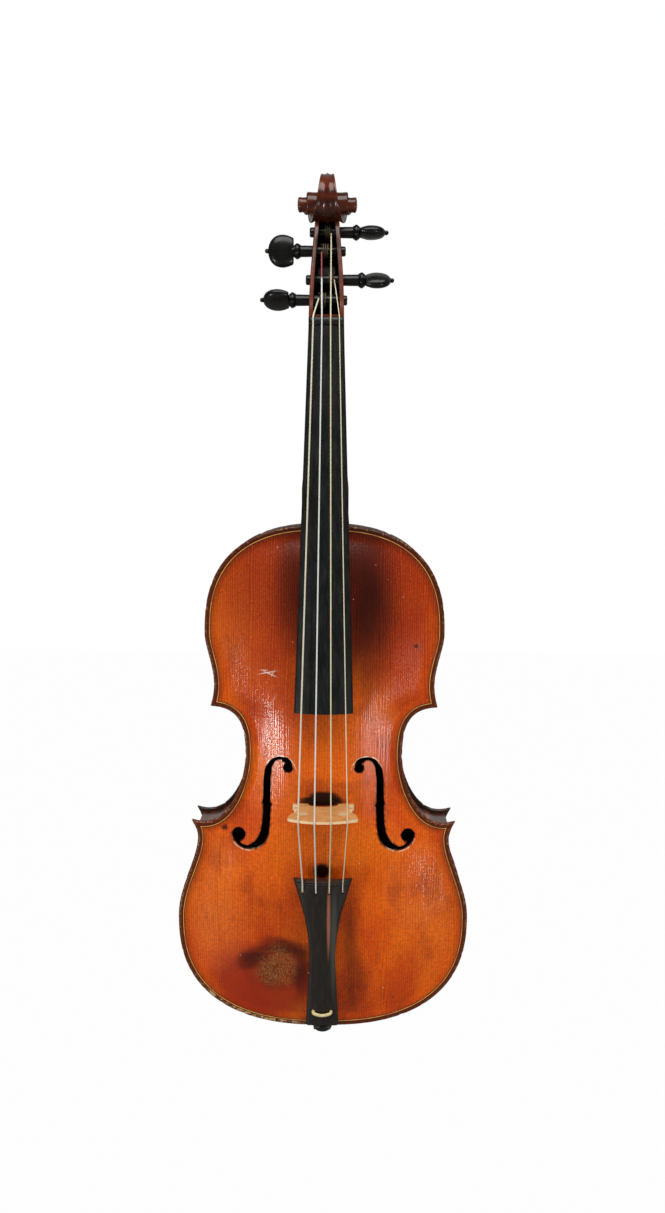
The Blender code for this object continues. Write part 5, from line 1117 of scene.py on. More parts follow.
# %% Pegbox
EYE_HEIGHT = 0.5700
EYE_DEPTH = 0.0160
EYE_RADIUS = 0.0051
EYE_HALF = 0.0202
SCROLL_RIM_HALF = 0.0140
SCROLL_RADIUS = 0.0212
SCROLL_CREST_HALF = 0.0044
PEGBOX_WALL = 0.0040
WALL_SEEN = 0.0031
PEGBOX_FLOOR = 0.0060
PEG_HEIGHTS = {"g": 0.5057, "e": 0.5195, "d": 0.5392, "a": 0.5523}
HOLLOW = (NUT_HEIGHT + NUT_THICKNESS + 0.0020, PEG_HEIGHTS["a"] + 0.0062)

bottom = -EYE_DEPTH
back_of_scroll = bottom - SCROLL_RADIUS
# front edge (s, h), back (s, h), half width in front, half width behind: six rows above the nut, two below the eye
HEAD_ROWS = np.array([
    (-0.0070, neck_plane(NUT_HEIGHT) - 0.0010, -0.0050, -0.0105, 0.0105, 0.0070),
    (0.0067, neck_plane(NUT_HEIGHT) - 0.0003, 0.0020, -0.0170, 0.0118, 0.0100),
    (0.0180, 0.0022, 0.0155, -0.0195, 0.0116, 0.0108), (0.0320, -0.0008, 0.0290, -0.0222, 0.0111, 0.0098),
    (0.0510, -0.0050, 0.0470, -0.0268, 0.0098, 0.0082), (0.0660, -0.0086, 0.0610, -0.0312, 0.0086, 0.0066),
    (-0.0105, bottom + 0.0035, -0.0080, back_of_scroll + 0.0018, 0.0080, 0.0053),
    (-0.0040, bottom - 0.0060, 0.0030, back_of_scroll + 0.0020, 0.0040, 0.0040)])
HEAD_ROWS[:, [0, 2]] += np.array([NUT_HEIGHT] * 6 + [EYE_HEIGHT] * 2)[:, None]
head = smooth_rows(HEAD_ROWS, 180)
# extra rows just inside and outside the hollow's two ends give it upright end walls
ends = np.array([HOLLOW[0] - 0.0001, HOLLOW[0] + 0.0002, HOLLOW[1] - 0.0002, HOLLOW[1] + 0.0001])
extra = np.stack([np.interp(ends, head[:, 0], column) for column in head.T], axis=1)
head = np.vstack([head, extra])
head = head[np.argsort(head[:, 0])]
inside = (head[:, 0] > HOLLOW[0]) & (head[:, 0] < HOLLOW[1])

wall = np.clip(head[:, 4] - WALL_SEEN, 0.001, None)
front_depth = np.hypot(head[:, 0] - head[:, 2], head[:, 1] - head[:, 3])
floor_share = np.where(inside, 1 - PEGBOX_FLOOR / front_depth, 0.0)


def head_section(row, wall_at, floor_at):
    """One closed loop of (x, share of the way from the front edge to the back)."""
    front, behind = row[4], row[5]
    rim = [(-front, 0.03), (-front + 0.0004, 0.008), (-front + 0.0009, 0.0), (-wall_at - 0.0006, 0.0),
           (-wall_at - 0.0002, 0.004 if floor_at else 0.0), (-wall_at, 0.02 if floor_at else 0.0)]
    half_floor = wall_at * 0.9
    down = [(-wall_at + (wall_at - half_floor) * t, floor_at * t) for t in (0.3, 0.6, 0.85)]
    corner = [(-half_floor + 0.0004, floor_at * 0.96), (-half_floor + 0.0016, floor_at)]
    left = rim + down + corner
    right = [(-x, q) for x, q in left[::-1]]
    side = [(front + (behind - front) * t + 0.0003 * math.sin(math.pi * t), t) for t in (0.2, 0.4, 0.6, 0.8, 0.95)]
    flutes = []
    for t in np.linspace(1, -1, 25):
        hollow = 0.0012 * (1 - (2 * abs(t) - 1) ** 2)
        flutes.append((behind * t, 1.0 - hollow / 0.02))
    loop = left + right + side + flutes + [(-x, q) for x, q in side[::-1]]
    return np.array(loop)


columns = 2 * 11
sections, blackened, worn = [], [], []
for row, wall_at, floor_at in zip(head, wall, floor_share):
    loop = head_section(row, wall_at, floor_at)
    s = row[0] + (row[2] - row[0]) * loop[:, 1]
    h = row[1] + (row[3] - row[1]) * loop[:, 1]
    sections.append(place(loop[:, 0], s, h))
    number = np.arange(len(loop))
    blackened.append(((number > 3) & (number < columns - 4) & (floor_at > 0)).astype(float))
    worn.append((((number < 5) | ((number > columns - 6) & (number < columns))) & (floor_at > 0)).astype(float))
pegbox_mesh = lofted("pegbox", sections, sharp=35, inside=blackened, edge_wear=worn)
new_piece("pegbox", pegbox_mesh, head_maple, "neck")

# %% [markdown]
# ## The scroll
# The scroll is a spiral whose radius shrinks as it turns, while each inner turn stands further out to the side. The
# turn is counted from the crest. Three bands make it: the fluted rim, the hollowed channel on each side, and the wall
# of each inner turn, up to the eye. They share their border lines, so they close into one surface.

# %% Scroll
SCROLL_DECAY = math.radians(235)
SCROLL_SPREAD = math.radians(290)
EYE_RISE = (math.radians(465), math.radians(720))
TURN_STEP = math.radians(5)
FIRST_TURN = math.radians(-90)
LAST_TURN = math.radians(720)
FULL_TURN = 2 * math.pi
EYE_CROWN = 0.0007
EDGE_ROUND = 0.0009
RIM_COLUMNS = 41
RIM_FLUTE = 0.0020
CHANNEL_SHARES = np.array([0, 0.04, 0.09, 0.16, 0.26, 0.38, 0.5, 0.62, 0.74, 0.85, 0.94, 1.0])
WALL_UP = np.r_[np.linspace(0, 1, 6), 1, 1, 1]
SIDE_HOLLOW = 0.0013
throat = FIRST_TURN + FULL_TURN


def eye_share(turn):
    """0 before the eye begins to rise, 1 where it has risen, and straight between."""
    return np.clip((turn - EYE_RISE[0]) / (EYE_RISE[1] - EYE_RISE[0]), 0, 1)


def scroll_radius(turn):
    """The rim's radius: the eye's, and a rest that decays with the turn and has gone where the eye begins."""
    late = eye_share(turn)
    rest = (SCROLL_RADIUS - EYE_RADIUS) * np.exp(-np.maximum(turn, 0) / SCROLL_DECAY)
    return EYE_RADIUS + rest * (1 - late**3)


def scroll_half(turn):
    """Half the width: it spreads by a sine to the power 1.6, and the eye stands out by a smooth step at the end."""
    share_of = np.clip(turn / SCROLL_SPREAD, 0, 1)
    out = eye_share(turn)
    return (SCROLL_CREST_HALF + (SCROLL_RIM_HALF - SCROLL_CREST_HALF) * np.sin(share_of * np.pi / 2) ** 1.6
            + (EYE_HALF - EYE_CROWN - SCROLL_RIM_HALF) * out * out * (3 - 2 * out))


def border_round(turn):
    """How far the worn edge stands in from the rim: a constant that fades where the spiral runs into the eye."""
    fade = math.radians(30)
    return EDGE_ROUND * np.clip(np.abs(turn - LAST_TURN) / fade, 0, 1) * np.clip(
        (LAST_TURN + FULL_TURN - turn) / fade, 0, 1)


def on_spiral(turn, radius, x):
    """World points at a turn and a radius from the eye's axis."""
    return place(x, EYE_HEIGHT + radius * np.cos(turn), -EYE_DEPTH + radius * np.sin(turn))


def band(turns, profile):
    """A strip of the scroll: for each turn, the points (radius, x) that the profile gives, for both sides."""
    radius, x = profile(turns[:, None])
    radius, x = np.broadcast_arrays(radius, x)
    return on_spiral(turns[:, None], radius, x)


def rim_profile(turn):
    """The rim from edge to edge, with two flutes: the radius dips by 1 - (2|t| - 1)^2 on each side of the ridge, and
    falls by a square to the worn edges."""
    t = np.sin(np.linspace(-np.pi / 2, np.pi / 2, RIM_COLUMNS))[None]
    half = scroll_half(turn)
    dip = np.clip(half * 0.22, 0, RIM_FLUTE) * (1 - (2 * np.abs(t) - 1) ** 2)
    dip = dip * np.clip((throat - turn) / math.radians(25), 0, 1)
    worn_edge = np.clip((np.abs(t) * half - half) / (1.3 * EDGE_ROUND) + 1, 0, 1)
    return scroll_radius(turn) - dip - EDGE_ROUND * worn_edge**2, half * t


def channel_profile(side):
    """From the rim's edge in to the next turn's wall, hollowed by a sine and bevelled at the edge."""
    def profile(turn):
        """The channel's (radius, x) at a turn, from v = 0 at the rim to v = 1 at the wall."""
        v = CHANNEL_SHARES[None]
        outer, inner = scroll_radius(turn) - border_round(turn), scroll_radius(turn + FULL_TURN)
        inner = np.where(turn + FULL_TURN > LAST_TURN, EYE_RADIUS, inner)
        hollow = SIDE_HOLLOW * np.clip((outer - inner) / 0.010, 0, 1) * np.sin(np.pi * v) ** 0.8
        return outer + (inner - outer) * v, side * (scroll_half(turn) - hollow)
    return profile


def wall_profile(side):
    """From the foot on the turn before up to the turn's own edge: slightly hollow, then rounded over."""
    up = WALL_UP
    over = np.r_[np.zeros(6), 0.5, 0.85, 1]
    inwards = np.r_[np.zeros(6), 0.2, 0.6, 1]

    def profile(turn):
        """The wall's (radius, x) at a turn, from its foot up to its edge."""
        low, high = scroll_half(turn - FULL_TURN), scroll_half(np.minimum(turn, LAST_TURN + FULL_TURN))
        radius = np.where(turn > LAST_TURN, EYE_RADIUS, scroll_radius(turn))
        rounded = np.minimum(1.3 * EDGE_ROUND, 0.6 * (high - low))
        return (radius - 0.0003 * np.sin(np.pi * up) - border_round(turn) * inwards,
                side * (low + (high - low - rounded) * up + rounded * over))
    return profile


def take(points, faces, block, wrap=False):
    """Adds a grid of points and its quads to the lists, and gives back where its numbers start."""
    first = len(points)
    faces.extend(grid_quads(*block.shape[:2], wrap=wrap, offset=first))
    points.extend(block.reshape(-1, 3).tolist())
    return first


points, faces = [], []
rim_rows = np.arange(FIRST_TURN, throat + 1e-6, TURN_STEP)
rim = take(points, faces, band(rim_rows, rim_profile))
edge_loop = list(range(rim, rim + RIM_COLUMNS))
sides = {}
for side in (-1, 1):
    channel_turns = np.arange(FIRST_TURN, LAST_TURN + 1e-6, TURN_STEP)
    channel = take(points, faces, band(channel_turns, channel_profile(side)))
    wall_turns = np.arange(throat, LAST_TURN + FULL_TURN + 1e-6, TURN_STEP)
    wall_first = take(points, faces, band(wall_turns, wall_profile(side)))
    sides[side] = [*range(channel, channel + len(CHANNEL_SHARES)), *range(wall_first, wall_first + len(WALL_UP))]
    u = np.arange(0, FULL_TURN - 1e-6, TURN_STEP)
    share_in = np.array([1.0, 0.85, 0.5, 0.0])[:, None]
    crown = np.array([0.0, 0.0003, 0.0006, EYE_CROWN])[:, None]
    rings = share_in * (EYE_RADIUS - border_round(LAST_TURN + u))[None]
    take(points, faces, on_spiral(u[None], rings, side * (EYE_HALF - EYE_CROWN + crown)), wrap=True)
last_row = list(range(rim + RIM_COLUMNS * (len(rim_rows) - 1), rim + RIM_COLUMNS * len(rim_rows)))
faces.append(edge_loop + sides[1] + last_row[::-1] + sides[-1][::-1])
scroll_mesh = make_mesh("scroll", points, faces, sharp=35)
new_piece("scroll", scroll_mesh, head_maple, "neck")

# %% [markdown]
# ## The fingerboard and nut
# The fingerboard is a wedge of ebony with a rounded top, glued on the neck and running free over the belly, where
# its underside is hollowed to match. Its section is the arc h = top - (R - sqrt(R^2 - x^2)), with small bevels.

# %% Fingerboard
BOARD_RADIUS = 0.042
BOARD_TOP = (0.0100, 0.0356)
EDGE_AT_END = 0.0050
GLUE = 0.0003
BEVEL = 0.0007
BOARD_HOLLOW = 0.0022


def worn_off(x, half, depth, reach):
    """How far an edge is rounded down at x: depth times the square of how far x lies in the last reach before it."""
    return depth * np.clip((np.abs(x) - half + reach) / reach, 0, 1) ** 2


def bow_drop(x, radius):
    """How far a rounded top has fallen at x from its middle."""
    return radius - np.sqrt(radius**2 - x**2)


def board_top(s):
    """The fingerboard's middle line, straight from the nut to its free end."""
    return BOARD_TOP[0] + (BOARD_TOP[1] - BOARD_TOP[0]) / BOARD_LENGTH * (NUT_HEIGHT - s)


board_end = NUT_HEIGHT - BOARD_LENGTH
free = BODY_LENGTH - 0.004
s = np.r_[np.linspace(NUT_HEIGHT - GLUE, free, 60), np.linspace(free - 0.001, board_end, 60)]
full_drop = bow_drop(BOARD_END_HALF, BOARD_RADIUS) + EDGE_AT_END
under_free = board_top(s) - full_drop
under = np.where(s >= free, neck_plane(s) + GLUE,
                 under_free + (neck_plane(free) + GLUE - under_free) * np.clip((s - free + 0.012) / 0.012, 0, 1))
half = board_half(s)
t = np.sin(np.linspace(-np.pi / 2, np.pi / 2, 49))
x = half[:, None] * t
top = board_top(s)[:, None] - bow_drop(x, BOARD_RADIUS) - worn_off(x, half[:, None], BEVEL, 1.6 * BEVEL)
hollow = BOARD_HOLLOW * np.clip((free - s) / 0.02, 0, 1)[:, None] * (1 - t[::4] ** 2)
sections = np.concatenate([place(x, s[:, None], top),
                           place((half[:, None] - 0.0003) * t[::-4], s[:, None], under[:, None] + hollow)], axis=1)
board_mesh = lofted("fingerboard", sections, sharp=30)
new_piece("fingerboard_crowned", board_mesh, ebony, "fingerboard")

# %% Nut with its four grooves
STRING_NAMES = ("g", "d", "a", "e")
STRING_RADII = {"g": 0.00055, "d": 0.00050, "a": 0.00045, "e": 0.00035}
SPREAD_AT_NUT = 0.0174
SPREAD_AT_BRIDGE = 0.0327
SPREAD_AT_TAIL = 0.0274
STRING_GAP = 0.0003
NUT_TOP = 0.0110
NUT_REAR_DROP = 0.0012
NUT_GROOVE = 0.0003


def string_x(name, spread):
    """Where a string lies across, for the width from the first string to the last."""
    return spread * (STRING_NAMES.index(name) / (len(STRING_NAMES) - 1) - 0.5)


across_nut = np.sin(np.linspace(-np.pi / 2, np.pi / 2, 121)) * NUT_HALF
grooves = sum(NUT_GROOVE * np.exp(-(((across_nut - string_x(name, SPREAD_AT_NUT)) / STRING_RADII[name]) ** 2))
              for name in STRING_NAMES)
nut_line = NUT_TOP - bow_drop(across_nut, BOARD_RADIUS) - grooves
nut_line -= worn_off(across_nut, NUT_HALF, 0.0008, 0.0012)
drop = np.array([0.0009, 0.0003, 0.0, 0.0, 0.0002, 0.0006, NUT_REAR_DROP, NUT_REAR_DROP + 0.0005])
along = np.array([0, 0.0003, 0.0010, 0.0030, 0.0038, 0.0046, 0.0053, NUT_THICKNESS]) + NUT_HEIGHT
base = neck_plane(NUT_HEIGHT) + GLUE
upper = place(across_nut, along[:, None], nut_line - drop[:, None])
lower = place(across_nut[::-8], along[:, None], base)
nut_mesh = lofted("nut", np.concatenate([upper, lower], axis=1))
new_piece("nut_grooved", nut_mesh, ebony, "nut")

# %% [markdown]
# ## The bridge
# The bridge is a thin plate of maple on two feet. Its outline is drawn for one half, mirrored and given a thickness
# that tapers towards the crown. Two kidneys are sawn right through. Its faces that turn out from the belly, the crown
# and the lower walls of the kidneys, are the palest, as painted highlight.

# %% Bridge
BODY_STOP = 0.1620
BRIDGE_HEIGHT = 0.0340
CROWN_HALF = 0.0235
FOOT_HALF = 0.0212
CROWN_RADIUS = 0.044
FOOT_THICKNESS = 0.0044
TOP_THICKNESS = 0.0016
KIDNEY = (0.0040, 0.0028)
KIDNEY_X = 0.0135


def crown_height(x):
    """The bridge's crown: its highest height less the drop of its curve."""
    return BELLY_ARCH + BRIDGE_HEIGHT - bow_drop(x, CROWN_RADIUS)


belly_points = np.array([tuple(v.co) for v in belly.data.vertices])
near_feet = belly_points[np.abs(belly_points[:, 2] - (BODY_STOP - HANGER_HEIGHT)) < 0.004]
near_feet = near_feet[near_feet[:, 1] < -(HANGER_DEPTH + 0.006)]


def belly_height(x):
    """The belly's height under the bridge's feet, read off the finished belly."""
    band = near_feet[np.argsort(near_feet[:, 0])]
    return np.interp(x, band[:, 0], -band[:, 1] - HANGER_DEPTH)


inner = FOOT_HALF * 0.5
rise = BRIDGE_HEIGHT
base = float(belly_height(FOOT_HALF))
# the arch between the feet, then a foot and the side: shares of a half width, and of the rise over the belly
arch = [(inner * wide, BELLY_ARCH + up * rise) for wide, up in ((0.0, 0.16), (0.55, 0.14), (0.92, 0.07))]
arch.append((inner, float(belly_height(inner)) + GLUE))
side_line = [(FOOT_HALF, base + GLUE)]
side_line += [(FOOT_HALF * wide, base + up * rise) for wide, up in (
    (0.99, 0.055), (0.82, 0.13), (0.79, 0.22), (0.92, 0.255), (0.94, 0.30), (0.83, 0.36), (0.86, 0.50))]
side_line += [(CROWN_HALF * wide, base + up * rise) for wide, up in ((0.92, 0.62), (0.98, 0.78))]
side_line.append((CROWN_HALF, float(crown_height(CROWN_HALF)) - 0.0006))
half_line = np.vstack([smooth_rows(arch, 16), smooth_rows(side_line, 90)])
crown_x = np.linspace(CROWN_HALF - 0.0006, 0, 24)
half_line = np.vstack([half_line, np.c_[crown_x, crown_height(crown_x)]])
whole = np.vstack([half_line, (half_line * (-1, 1))[::-1][1:-1]])
share_up = (whole[:, 1] - BELLY_ARCH) / BRIDGE_HEIGHT
thickness = FOOT_THICKNESS + (TOP_THICKNESS - FOOT_THICKNESS) * share_up
low = BODY_STOP - FOOT_THICKNESS / 2
faces_of_bridge = [place(whole[:, 0], low, whole[:, 1]), place(whole[:, 0], low + thickness, whole[:, 1])]
bridge_mesh = lofted("bridge", faces_of_bridge)
middle = BELLY_ARCH + 0.555 * BRIDGE_HEIGHT
holes = []
for side in (1, -1):
    ring = circle((side * KIDNEY_X, middle), KIDNEY, 48)
    holes.append(lofted("hole", [place(ring[:, 0], s_end, ring[:, 1]) for s_end in (low - 0.004, low + 0.009)]))
new_piece("bridge_carved", carved(bridge_mesh, holes, 40), bridge_maple, "bridge")

# %% [markdown]
# ## The tailpiece
# The tailpiece is a slim arched plate of dark wood. It is wide at its head, where a small fret holds the strings up,
# and narrow at its waist. Four holes take the strings, and two near its foot the gut that ties it to the end button.

# %% Tailpiece
TAIL = (0.0065, 0.1145)
TAIL_HALVES = (0.0115, 0.0102, 0.0089, 0.01175, 0.016424, 0.0203)
TAIL_TOP = (0.0180, 0.0296)
TAIL_THICKNESS = 0.0048
TAIL_RADIUS = 0.040
TAIL_BEVEL = 0.0008
FRET_INSET = 0.0030
HOLE_INSET = 0.0090
GUT_HOLE = (0.0062, 0.0172)
GUT_RADIUS = 0.0011


def tail_top(s):
    """The tailpiece's middle line, straight from its foot to its head."""
    return TAIL_TOP[0] + (TAIL_TOP[1] - TAIL_TOP[0]) * (s - TAIL[0]) / (TAIL[1] - TAIL[0])


tail_places = TAIL[0] + (TAIL[1] - TAIL[0]) * np.array([0, 0.22, 0.48, 0.72, 0.88, 1])
dense = smooth_rows(np.c_[tail_places, TAIL_HALVES], 111)


def tail_half(s):
    """Half the tailpiece's width, read off its smoothed rows."""
    return np.interp(s, dense[:, 0], dense[:, 1])


def tail_sections(s):
    """Top arc with bevelled edges, then the hollowed underside."""
    half = tail_half(s)
    x = half[:, None] * t
    bevel = worn_off(x, half[:, None], TAIL_BEVEL, 2 * TAIL_BEVEL)
    top = tail_top(s)[:, None] - bow_drop(x, TAIL_RADIUS) - bevel
    below = (half[:, None] - TAIL_BEVEL) * t[::-4]
    edge = bow_drop(half, TAIL_RADIUS)[:, None]
    bottom = tail_top(s)[:, None] - TAIL_THICKNESS - 0.6 * edge * t[::-4] ** 2
    return np.concatenate([place(x, s[:, None], top), place(below, s[:, None], bottom)], axis=1)


tail_mesh = lofted("tailpiece", tail_sections(np.linspace(TAIL[0], TAIL[1], 80)), sharp=30)


def upright_rod(x, s, radius):
    """A round knife that goes right through the violin's thickness."""
    ring = circle((x, s), radius, 28)
    return slab_mesh("rod", ring, -0.01, 0.06)


rods = [upright_rod(string_x(name, SPREAD_AT_TAIL), TAIL[1] - HOLE_INSET, 0.00115) for name in STRING_NAMES]
rods += [upright_rod(side * GUT_HOLE[0], GUT_HOLE[1], GUT_RADIUS + 0.0005) for side in (-1, 1)]
new_piece("tailpiece_arched", carved(tail_mesh, rods, 30), tail_ebony, "tailpiece")

fret_s = TAIL[1] - FRET_INSET + np.array([-0.0009, -0.0007, -0.0003, 0.0, 0.0003, 0.0007, 0.0009])
fret_rise = np.array([0.0003, 0.0007, 0.00095, 0.0010, 0.00095, 0.0007, 0.0003])
half = tail_half(fret_s)[:, None] - 0.0006
low_line = tail_top(fret_s)[:, None] - bow_drop(half * t, TAIL_RADIUS) + GLUE
fret = np.concatenate([place(half * t, fret_s[:, None], low_line + fret_rise[:, None]),
                       place(half * t[::-1], fret_s[:, None], low_line[:, ::-1])], axis=1)
new_piece("tailpiece_ridge", lofted("ridge", fret), ebony, "tailpiece_fret")

# %% [markdown]
# ## Round cords: gut and strings
# A string is a circle carried along a path. At each point of the path the circle lies in the plane across the path,
# turned by a reference direction, so its surface has no twist. A route of a few points is first eased at its bends.

# %% Tubes along a path


def eased(route, reach=0.0015, rounds=3):
    """The route with points added near each bend, and every piece then cut three times at a quarter and at three
    quarters of its length, which rounds the bends."""
    route = np.asarray(route, float)
    steps = np.diff(route, axis=0)
    size = np.linalg.norm(steps, axis=1)[:, None]
    near = np.minimum(reach, size * 0.3) * steps / size
    path = np.concatenate([route[:1], np.stack([route[:-1] + near, route[1:] - near], axis=1).reshape(-1, 3),
                           route[-1:]])
    for _ in range(rounds):
        cut = np.stack([path[:-1] * 0.75 + path[1:] * 0.25, path[:-1] * 0.25 + path[1:] * 0.75], axis=1)
        path = np.concatenate([path[:1], cut.reshape(-1, 3), path[-1:]])
    return path


def tube_rings(path, radius, reference, sides=14, closed=False):
    """Rings across the path: two normals from the reference direction, and a circle in their plane."""
    tangent = np.roll(path, -1, axis=0) - np.roll(path, 1, axis=0) if closed else np.gradient(path, axis=0)
    tangent /= np.linalg.norm(tangent, axis=1)[:, None]
    reference = np.broadcast_to(reference, path.shape)
    one = reference - tangent * np.sum(reference * tangent, axis=1)[:, None]
    one /= np.linalg.norm(one, axis=1)[:, None]
    two = np.cross(tangent, one)
    u = once_round(sides)[None, :, None]
    return path[:, None] + radius * (one[:, None] * np.cos(u) + two[:, None] * np.sin(u))


def cord_mesh(name, path, radius, reference, sides=14):
    """A closed tube along a path that carries its distance along, and the cosine and sine of the angle round it."""
    along = np.r_[0, np.cumsum(np.linalg.norm(np.diff(path, axis=0), axis=1))]
    along, u = np.broadcast_arrays(along[:, None], once_round(sides)[None])
    return lofted(name, tube_rings(path, radius, reference, sides), along=along, round_cos=np.cos(u),
                  round_sin=np.sin(u))


def string_route(name):
    """The string from inside the tailpiece over its ridge, the bridge and the nut, to its peg."""
    radius = STRING_RADII[name]
    clear = radius + STRING_GAP
    tail_x, bridge_x, nut_x = (string_x(name, w) for w in (SPREAD_AT_TAIL, SPREAD_AT_BRIDGE, SPREAD_AT_NUT))
    hole = TAIL[1] - HOLE_INSET
    ridge = TAIL[1] - FRET_INSET
    bridge_s = BODY_STOP - FOOT_THICKNESS / 2 + TOP_THICKNESS / 2
    on_tail = tail_top(hole) - bow_drop(tail_x, TAIL_RADIUS)
    on_ridge = tail_top(ridge) - bow_drop(tail_x, TAIL_RADIUS) + GLUE + 0.0010 + clear
    on_bridge = crown_height(bridge_x) + clear
    on_nut = NUT_TOP - bow_drop(nut_x, BOARD_RADIUS) + clear
    leaving = NUT_HEIGHT + NUT_THICKNESS + STRING_GAP
    route = [(tail_x, hole, on_tail - 0.0030), (tail_x, hole, on_tail), (tail_x, hole + 0.0008, on_tail + 0.0010),
             (tail_x, ridge - 0.0015, on_ridge - 0.0004), (tail_x, ridge + 0.0005, on_ridge),
             (bridge_x, bridge_s - 0.0010, on_bridge - 0.0001), (bridge_x, bridge_s + 0.0010, on_bridge + 0.0001),
             (nut_x, NUT_HEIGHT, on_nut), (nut_x, NUT_HEIGHT + NUT_THICKNESS / 2, on_nut),
             (nut_x, leaving, on_nut - NUT_REAR_DROP / 2)]
    wind, _, last, s, h = winding_facts(name)
    start = np.array([leaving, on_nut - NUT_REAR_DROP / 2])
    away = np.array([s, h]) - start
    distance = np.hypot(*away)
    lift = math.asin(wind / distance)
    bearing = math.atan2(away[1], away[0]) + lift
    swept = wind + 2 * radius + STRING_GAP
    straight = distance * math.cos(lift) - math.sqrt(swept**2 - wind**2)
    end = start + straight * np.array([math.cos(bearing), math.sin(bearing)])
    return [place(*point) for point in route] + [place(last, *end)]


# %% [markdown]
# ## Pegs and windings
# A peg is turned: a tapered shank, a collar with two beads, and a flat oval thumb piece with a small pip at its end.
# The head is not round, so its surface is a grid of its own, a flattened oval with a slightly dished face.

# %% Peg places
PEG_SIDES = {"g": -1, "e": 1, "d": -1, "a": 1}
PEG_TURNS = {"g": 65, "e": -66, "d": 0, "a": 90}
PEG_COLLAR = {"g": 0.0207, "e": 0.0212, "d": 0.0178, "a": 0.0174}
PEG_TAIL = {"g": 0.0139, "e": 0.0142, "d": 0.0127, "a": 0.0119}
PEG_BELOW_EDGE = 0.0095
PEG_RADIUS = 0.00385
PEG_END_RADIUS = 0.0033
COLLAR_RADIUS = 0.0053
COLLAR_LENGTH = 0.0048
HEAD_LENGTH = 0.0174
HEAD_HALF = 0.0109
HEAD_THICKNESS = 0.0095
PIP_RADIUS = 0.0016
BEADS = ((0.80, 0.04), (0.90, 0.12), (0.84, 0.20), (0.95, 0.28), (1, 0.42), (1, 0.56), (0.95, 0.68), (0.84, 0.76),
         (0.86, 0.84), (0.74, 0.94))
WINDING_TURNS = 3
WINDING_GAP = 0.00045
CHEEK_ROWS = HEAD_ROWS[1:6]


def peg_centre(name):
    """The peg's axis: its height up the head, and its depth below the cheek's front edge."""
    s = PEG_HEIGHTS[name]
    return s, float(np.interp(s, CHEEK_ROWS[:, 0], CHEEK_ROWS[:, 1])) - PEG_BELOW_EDGE


def winding_facts(name):
    """The winding's radius, its pitch, where its last turn lies along the peg, and the peg's place."""
    radius = STRING_RADII[name]
    s, h = peg_centre(name)
    inner_wall = float(np.interp(s, CHEEK_ROWS[:, 0], CHEEK_ROWS[:, 4])) - PEGBOX_WALL
    last = PEG_SIDES[name] * (inner_wall * 0.9 - 0.0010 - radius)
    return PEG_RADIUS + GLUE + radius, 2 * radius + WINDING_GAP, last, s, h


def turned_grid(profile, steps=48):
    """A turned surface: each (radius, distance) of the profile swept round, as (a, b, distance) in the peg's terms."""
    profile = np.asarray(profile, float)
    u = once_round(steps)
    return np.stack([profile[:, :1] * np.cos(u), profile[:, :1] * np.sin(u),
                     np.broadcast_to(profile[:, 1:], (len(profile), steps))], axis=-1)


def peg_world(grid, name):
    """The peg's own (a, b, distance) put in the world: distance runs out to its side, and (a, b), with a along the
    head's broad side, is turned about the peg's axis by the cosine and sine of its turn."""
    side = PEG_SIDES[name]
    turn = math.radians(PEG_TURNS[name])
    s, h = peg_centre(name)
    a, b, distance = grid[..., 0], grid[..., 1], grid[..., 2]
    up = b * math.sin(turn) - a * side * math.cos(turn)
    out = -b * math.cos(turn) - a * side * math.sin(turn)
    return place(side * distance, s + up, h + out)


def shank_radius(name, distance):
    """The taper: straight from the end's radius at the tail to the peg's at the collar."""
    tail = -PEG_TAIL[name]
    return PEG_END_RADIUS + (PEG_RADIUS - PEG_END_RADIUS) * (distance - tail) / (PEG_COLLAR[name] - tail)


def peg_profile(name):
    """The shank and the collar as (radius, distance): a straight taper, then beads as shares of the collar's size."""
    collar, tail = PEG_COLLAR[name], -PEG_TAIL[name]
    head = collar + COLLAR_LENGTH
    shank = [(0, tail), (PEG_END_RADIUS - 0.0008, tail), (PEG_END_RADIUS - 0.0002, tail + 0.0004),
             (shank_radius(name, tail + 0.001), tail + 0.001), (shank_radius(name, collar), collar)]
    beads = [(COLLAR_RADIUS * wide, collar + up * COLLAR_LENGTH) for wide, up in BEADS]
    inside_head = [(PEG_RADIUS * 0.9, head), (PEG_RADIUS * 0.8, head + 0.0030), (0, head + 0.0040)]
    return np.array(shank + beads + inside_head)


def head_grid(name):
    """The thumb piece: cut straight at the collar and round at its tip. Along its length q the half width rises from
    0.8 by a sine to its full size at 0.42, and then follows an ellipse down to the tip. The thickness rises from 0.6
    in the same way, and the broad faces are dished by a share of 0.4 q (1 - q)."""
    start = PEG_COLLAR[name] + COLLAR_LENGTH
    q = np.r_[0, 0, 0, 0.008, 0.025, np.sin(np.linspace(0.05, 1, 30) * np.pi / 2)][:, None]
    cap = np.r_[0, 0.5, 0.88, 0.96, 1, np.ones(30)][:, None]
    u = once_round(64)[None]
    rise = np.sin(np.clip(q / 0.42, 0, 1) * np.pi / 2)
    tip = np.sqrt(np.clip(1 - np.clip((q - 0.42) / 0.58, 0, 1) ** 2.3, 0, 1))
    wide = (0.80 + 0.20 * rise) * tip * cap
    thick = (0.60 + 0.40 * rise) * tip * cap
    a = HEAD_HALF * wide * np.sign(np.cos(u)) * np.abs(np.cos(u)) ** 0.9
    b = HEAD_THICKNESS / 2 * thick * np.sin(u) * (1 - 0.4 * q * (1 - q) * np.sin(u) ** 2)
    return np.stack([a, b, start + HEAD_LENGTH * q + 0 * u], axis=-1)


